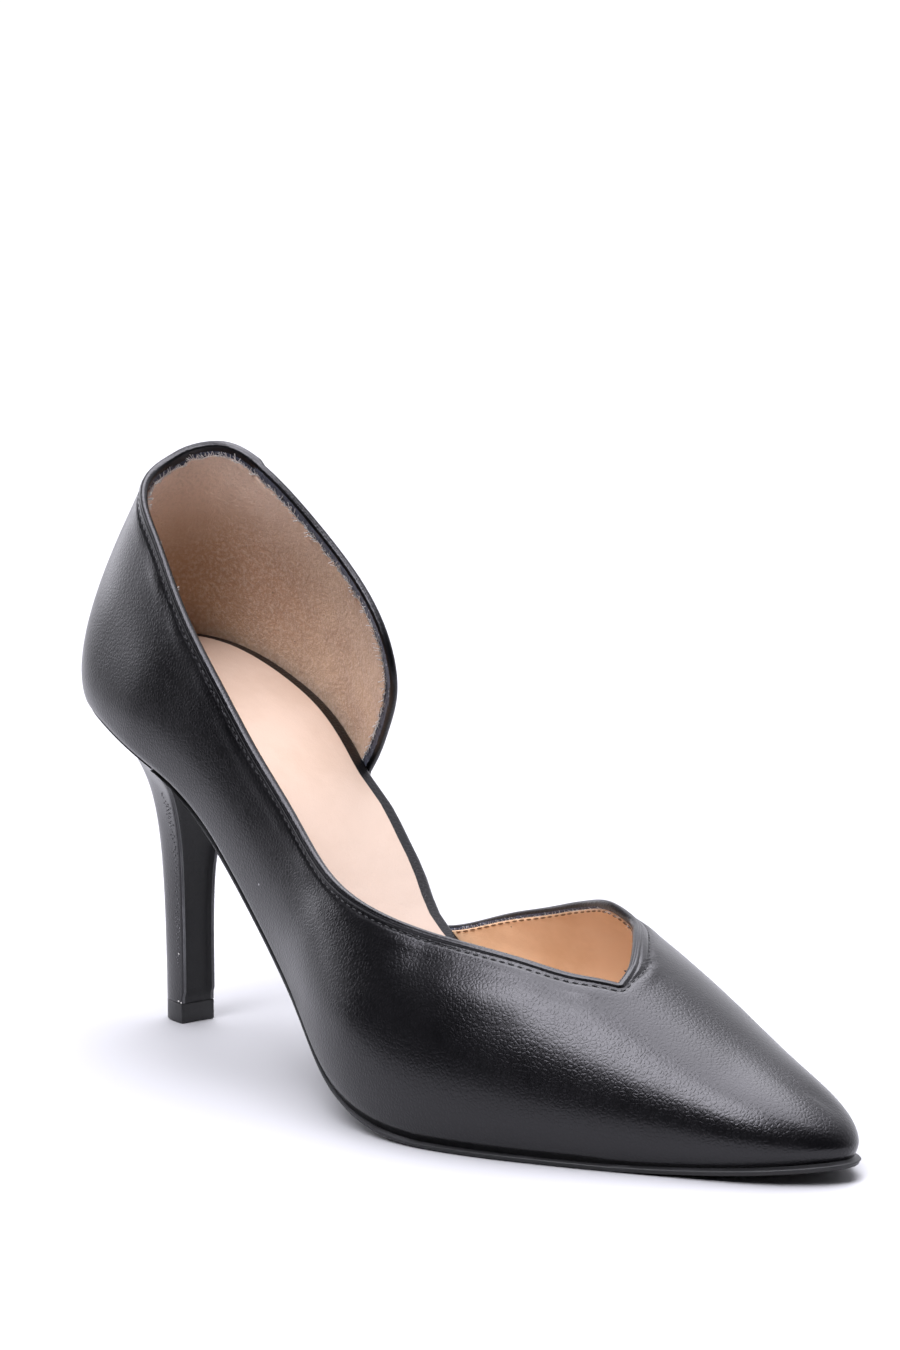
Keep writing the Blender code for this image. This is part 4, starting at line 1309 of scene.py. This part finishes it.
# crumbs of glue on the wrap beside the lip of the heel, and a few pale blobs
def buildGlue():
    s = stitchSet
    rng = np.random.default_rng(s["crumbSeed"])
    first = heelSet["breastPoints"] + 4
    trail = []
    for share in np.linspace(*s["crumbShares"], s["crumbCount"]):
        ring = heelRing(share, heelSet["lip"], heelSet["recess"])
        trail.append(ring[first + int(rng.integers(1, 7))])
    low, knee = heelRing(0.003, 0.0, 0.0), heelRing(0.19, heelSet["lip"], heelSet["recess"])
    spots = [low[first + 1], low[first + 4] + (0.0, 0.0, 0.0002), knee[first + 3], knee[first + 5]]
    return (grow("heel_glue_crumbs", stitchTree, s["crumbs"], greyGlue, trail),
            grow("heel_glue_blobs", stitchTree, s["blobs"], paleGlue, spots, None, [2, 2]))


collarStitches, wingStitches, counterFray, wingFray, strayThread = buildThreads()
glueCrumbs, glueBlobs = buildGlue()
print("threads and glue made:", len(collarStitches.data.polygons), len(wingStitches.data.polygons),
      len(counterFray.data.polygons), len(glueCrumbs.data.polygons))


pieceTable = [
    (upperPiece, "upper_leather", "upper"),
    (boardPiece, "board_wrap", "insole_board"),
    (sockPiece, "sock_leather", "sock"),
    (outsolePiece, "outsole_sheet", "outsole"),
    (heelPiece, "heel_wrap", "heel"),
    (topPiece, "top_piece_rubber", "top_piece"),
    (counterLining, "sock_leather", None),
    (vampLining, "sock_leather", None),
    (collarStitches, "upper_leather", None),
    (wingStitches, "upper_leather", None),
    (counterFray, "sock_leather", None),
    (wingFray, "sock_leather", None),
    (strayThread, "upper_leather", None),
    (glueCrumbs, "heel_wrap", None),
    (glueBlobs, "heel_wrap", None),
]
for piece, slotName, nodeName in pieceTable:
    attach(piece, "root")
    if nodeName:
        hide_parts(nodeName)


studioSet = dict(
    floorColour=(0.50, 0.50, 0.51),
    floorFront=0.30, floorBack=3.0, floorLeft=0.42, floorRight=0.75,    # a table seen from the camera
    frontGlow=0.03, backGlow=1.25, glowTurn=20.0, glowSpan=(-0.35, 1.0), seenGlow=1.1, tint=(0.97, 0.965, 1.04, 1.0),
    # ceiling box: glow, middle and half size to the right and away from the camera, at a height of one, soft edge
    ceiling=dict(glow=6.6, middle=(0.08, 0.27), half=(0.36, 0.63), edge=0.10),
    # upright boxes: glow, degrees right of the camera, degrees up, middle, half width and height, soft edge
    key=dict(glow=12.5, turn=-35.0, rise=57.0, middle=(0.0, 0.0), half=(0.23, 0.27), edge=0.05),
    rear=dict(glow=2.6, turn=-131.0, rise=13.5, middle=(0.0, 0.0), half=(0.42, 0.19), edge=0.06),
)
viewSet = dict(
    swing=50.0, tilt=9.254153784736353, distance=1.0503606924759965,
    aside=0.0008131986944664258, raised=0.02829508252538339, aim=(0.115, 0.0, 0.060), lens=135.0, sensor=36.0,
)

swing, tilt = math.radians(viewSet["swing"]), math.radians(viewSet["tilt"])
viewRight = Vector((math.cos(swing), math.sin(swing), 0.0))
viewBack = Vector((math.sin(swing) * math.cos(tilt), -math.cos(swing) * math.cos(tilt), math.sin(tilt)))
viewUp = viewBack.cross(viewRight)
viewAhead = Vector((-viewBack.x, -viewBack.y, 0.0)).normalized()


def buildFloor():
    s = studioSet
    spots = [(-s["floorLeft"], -s["floorFront"]), (s["floorRight"], -s["floorFront"]),
             (s["floorRight"], s["floorBack"]), (-s["floorLeft"], s["floorBack"])]
    mesh = bpy.data.meshes.new("studio_floor")
    mesh.from_pydata([tuple(viewRight * u + viewAhead * v) for u, v in spots], [], [(0, 1, 2, 3)])
    mesh.materials.append(newMaterial("studio_floor", s["floorColour"], 0.7)[0])
    floor = bpy.data.objects.new("studio_floor", mesh)
    bpy.context.scene.collection.objects.link(floor)


# 1 inside a span, softly 0 outside it
def softSpan(tree, value, middle, half, edge):
    away = maths(tree, "ABSOLUTE", maths(tree, "SUBTRACT", value, middle))
    return remap(tree, away, half - edge, half + edge, 1.0, 0.0)


def dotWith(tree, toward, direction):
    return addNode(tree, "ShaderNodeVectorMath", {"operation": "DOT_PRODUCT"}, i0=toward,
                   i1=tuple(direction)).outputs["Value"]


# a lit rectangle seen across a plane one unit away along its own axis
def softBox(tree, toward, axis, wide, tall, box):
    depth = maths(tree, "MAXIMUM", dotWith(tree, toward, axis), 0.001)
    spans = [softSpan(tree, maths(tree, "DIVIDE", dotWith(tree, toward, way), depth), middle, half, box["edge"])
             for way, middle, half in zip((wide, tall), box["middle"], box["half"])]
    return maths(tree, "MULTIPLY", maths(tree, "MULTIPLY", *spans), box["glow"])


# a pale room, dark on the side of the camera, with a ceiling box and two upright boxes
def buildRoom():
    s = studioSet
    world = bpy.data.worlds.new("studio_room")
    world.use_nodes = True
    bpy.context.scene.world = world
    tree = world.node_tree
    toward = addNode(tree, "ShaderNodeTexCoord").outputs["Generated"]
    zenith = Vector((0.0, 0.0, 1.0))
    glowTurn = math.radians(s["glowTurn"])
    bright = viewAhead * math.cos(glowTurn) + viewRight * math.sin(glowTurn)
    glow = remap(tree, dotWith(tree, toward, bright), *s["glowSpan"], s["frontGlow"], s["backGlow"])
    glow = maths(tree, "ADD", glow, softBox(tree, toward, zenith, viewRight, viewAhead, s["ceiling"]))
    for box in (s["key"], s["rear"]):
        turn, rise = math.radians(box["turn"]), math.radians(box["rise"])
        level = viewRight * math.sin(turn) - viewAhead * math.cos(turn)
        axis = level * math.cos(rise) + zenith * math.sin(rise)
        wide = zenith.cross(level)
        glow = maths(tree, "ADD", glow, softBox(tree, toward, axis, wide, axis.cross(wide), box))
    seen = addNode(tree, "ShaderNodeLightPath").outputs["Is Camera Ray"]
    shown = addNode(tree, "ShaderNodeMix", {"data_type": "FLOAT"})
    tree.links.new(seen, shown.inputs[0])
    tree.links.new(glow, shown.inputs[2])
    shown.inputs[3].default_value = s["seenGlow"]
    tree.links.new(shown.outputs[0], tree.nodes["Background"].inputs["Strength"])
    tree.nodes["Background"].inputs["Color"].default_value = s["tint"]


def buildCamera():
    v = viewSet
    eye = Vector(v["aim"]) + viewRight * v["aside"] + viewUp * v["raised"] + viewBack * v["distance"]
    eye -= Vector(shoeShift)
    lens = bpy.data.cameras.new("photo_camera")
    lens.lens = v["lens"]
    lens.sensor_width = v["sensor"]
    lens.clip_start = 0.01
    lens.clip_end = 100.0
    camera = bpy.data.objects.new("photo_camera", lens)
    turn = Matrix((viewRight, viewUp, viewBack)).transposed().to_4x4()
    camera.matrix_world = Matrix.Translation(eye) @ turn
    bpy.context.scene.collection.objects.link(camera)
    bpy.context.scene.camera = camera


buildFloor()
buildRoom()
buildCamera()
bpy.context.scene.view_settings.view_transform = "Standard"
print("studio made")
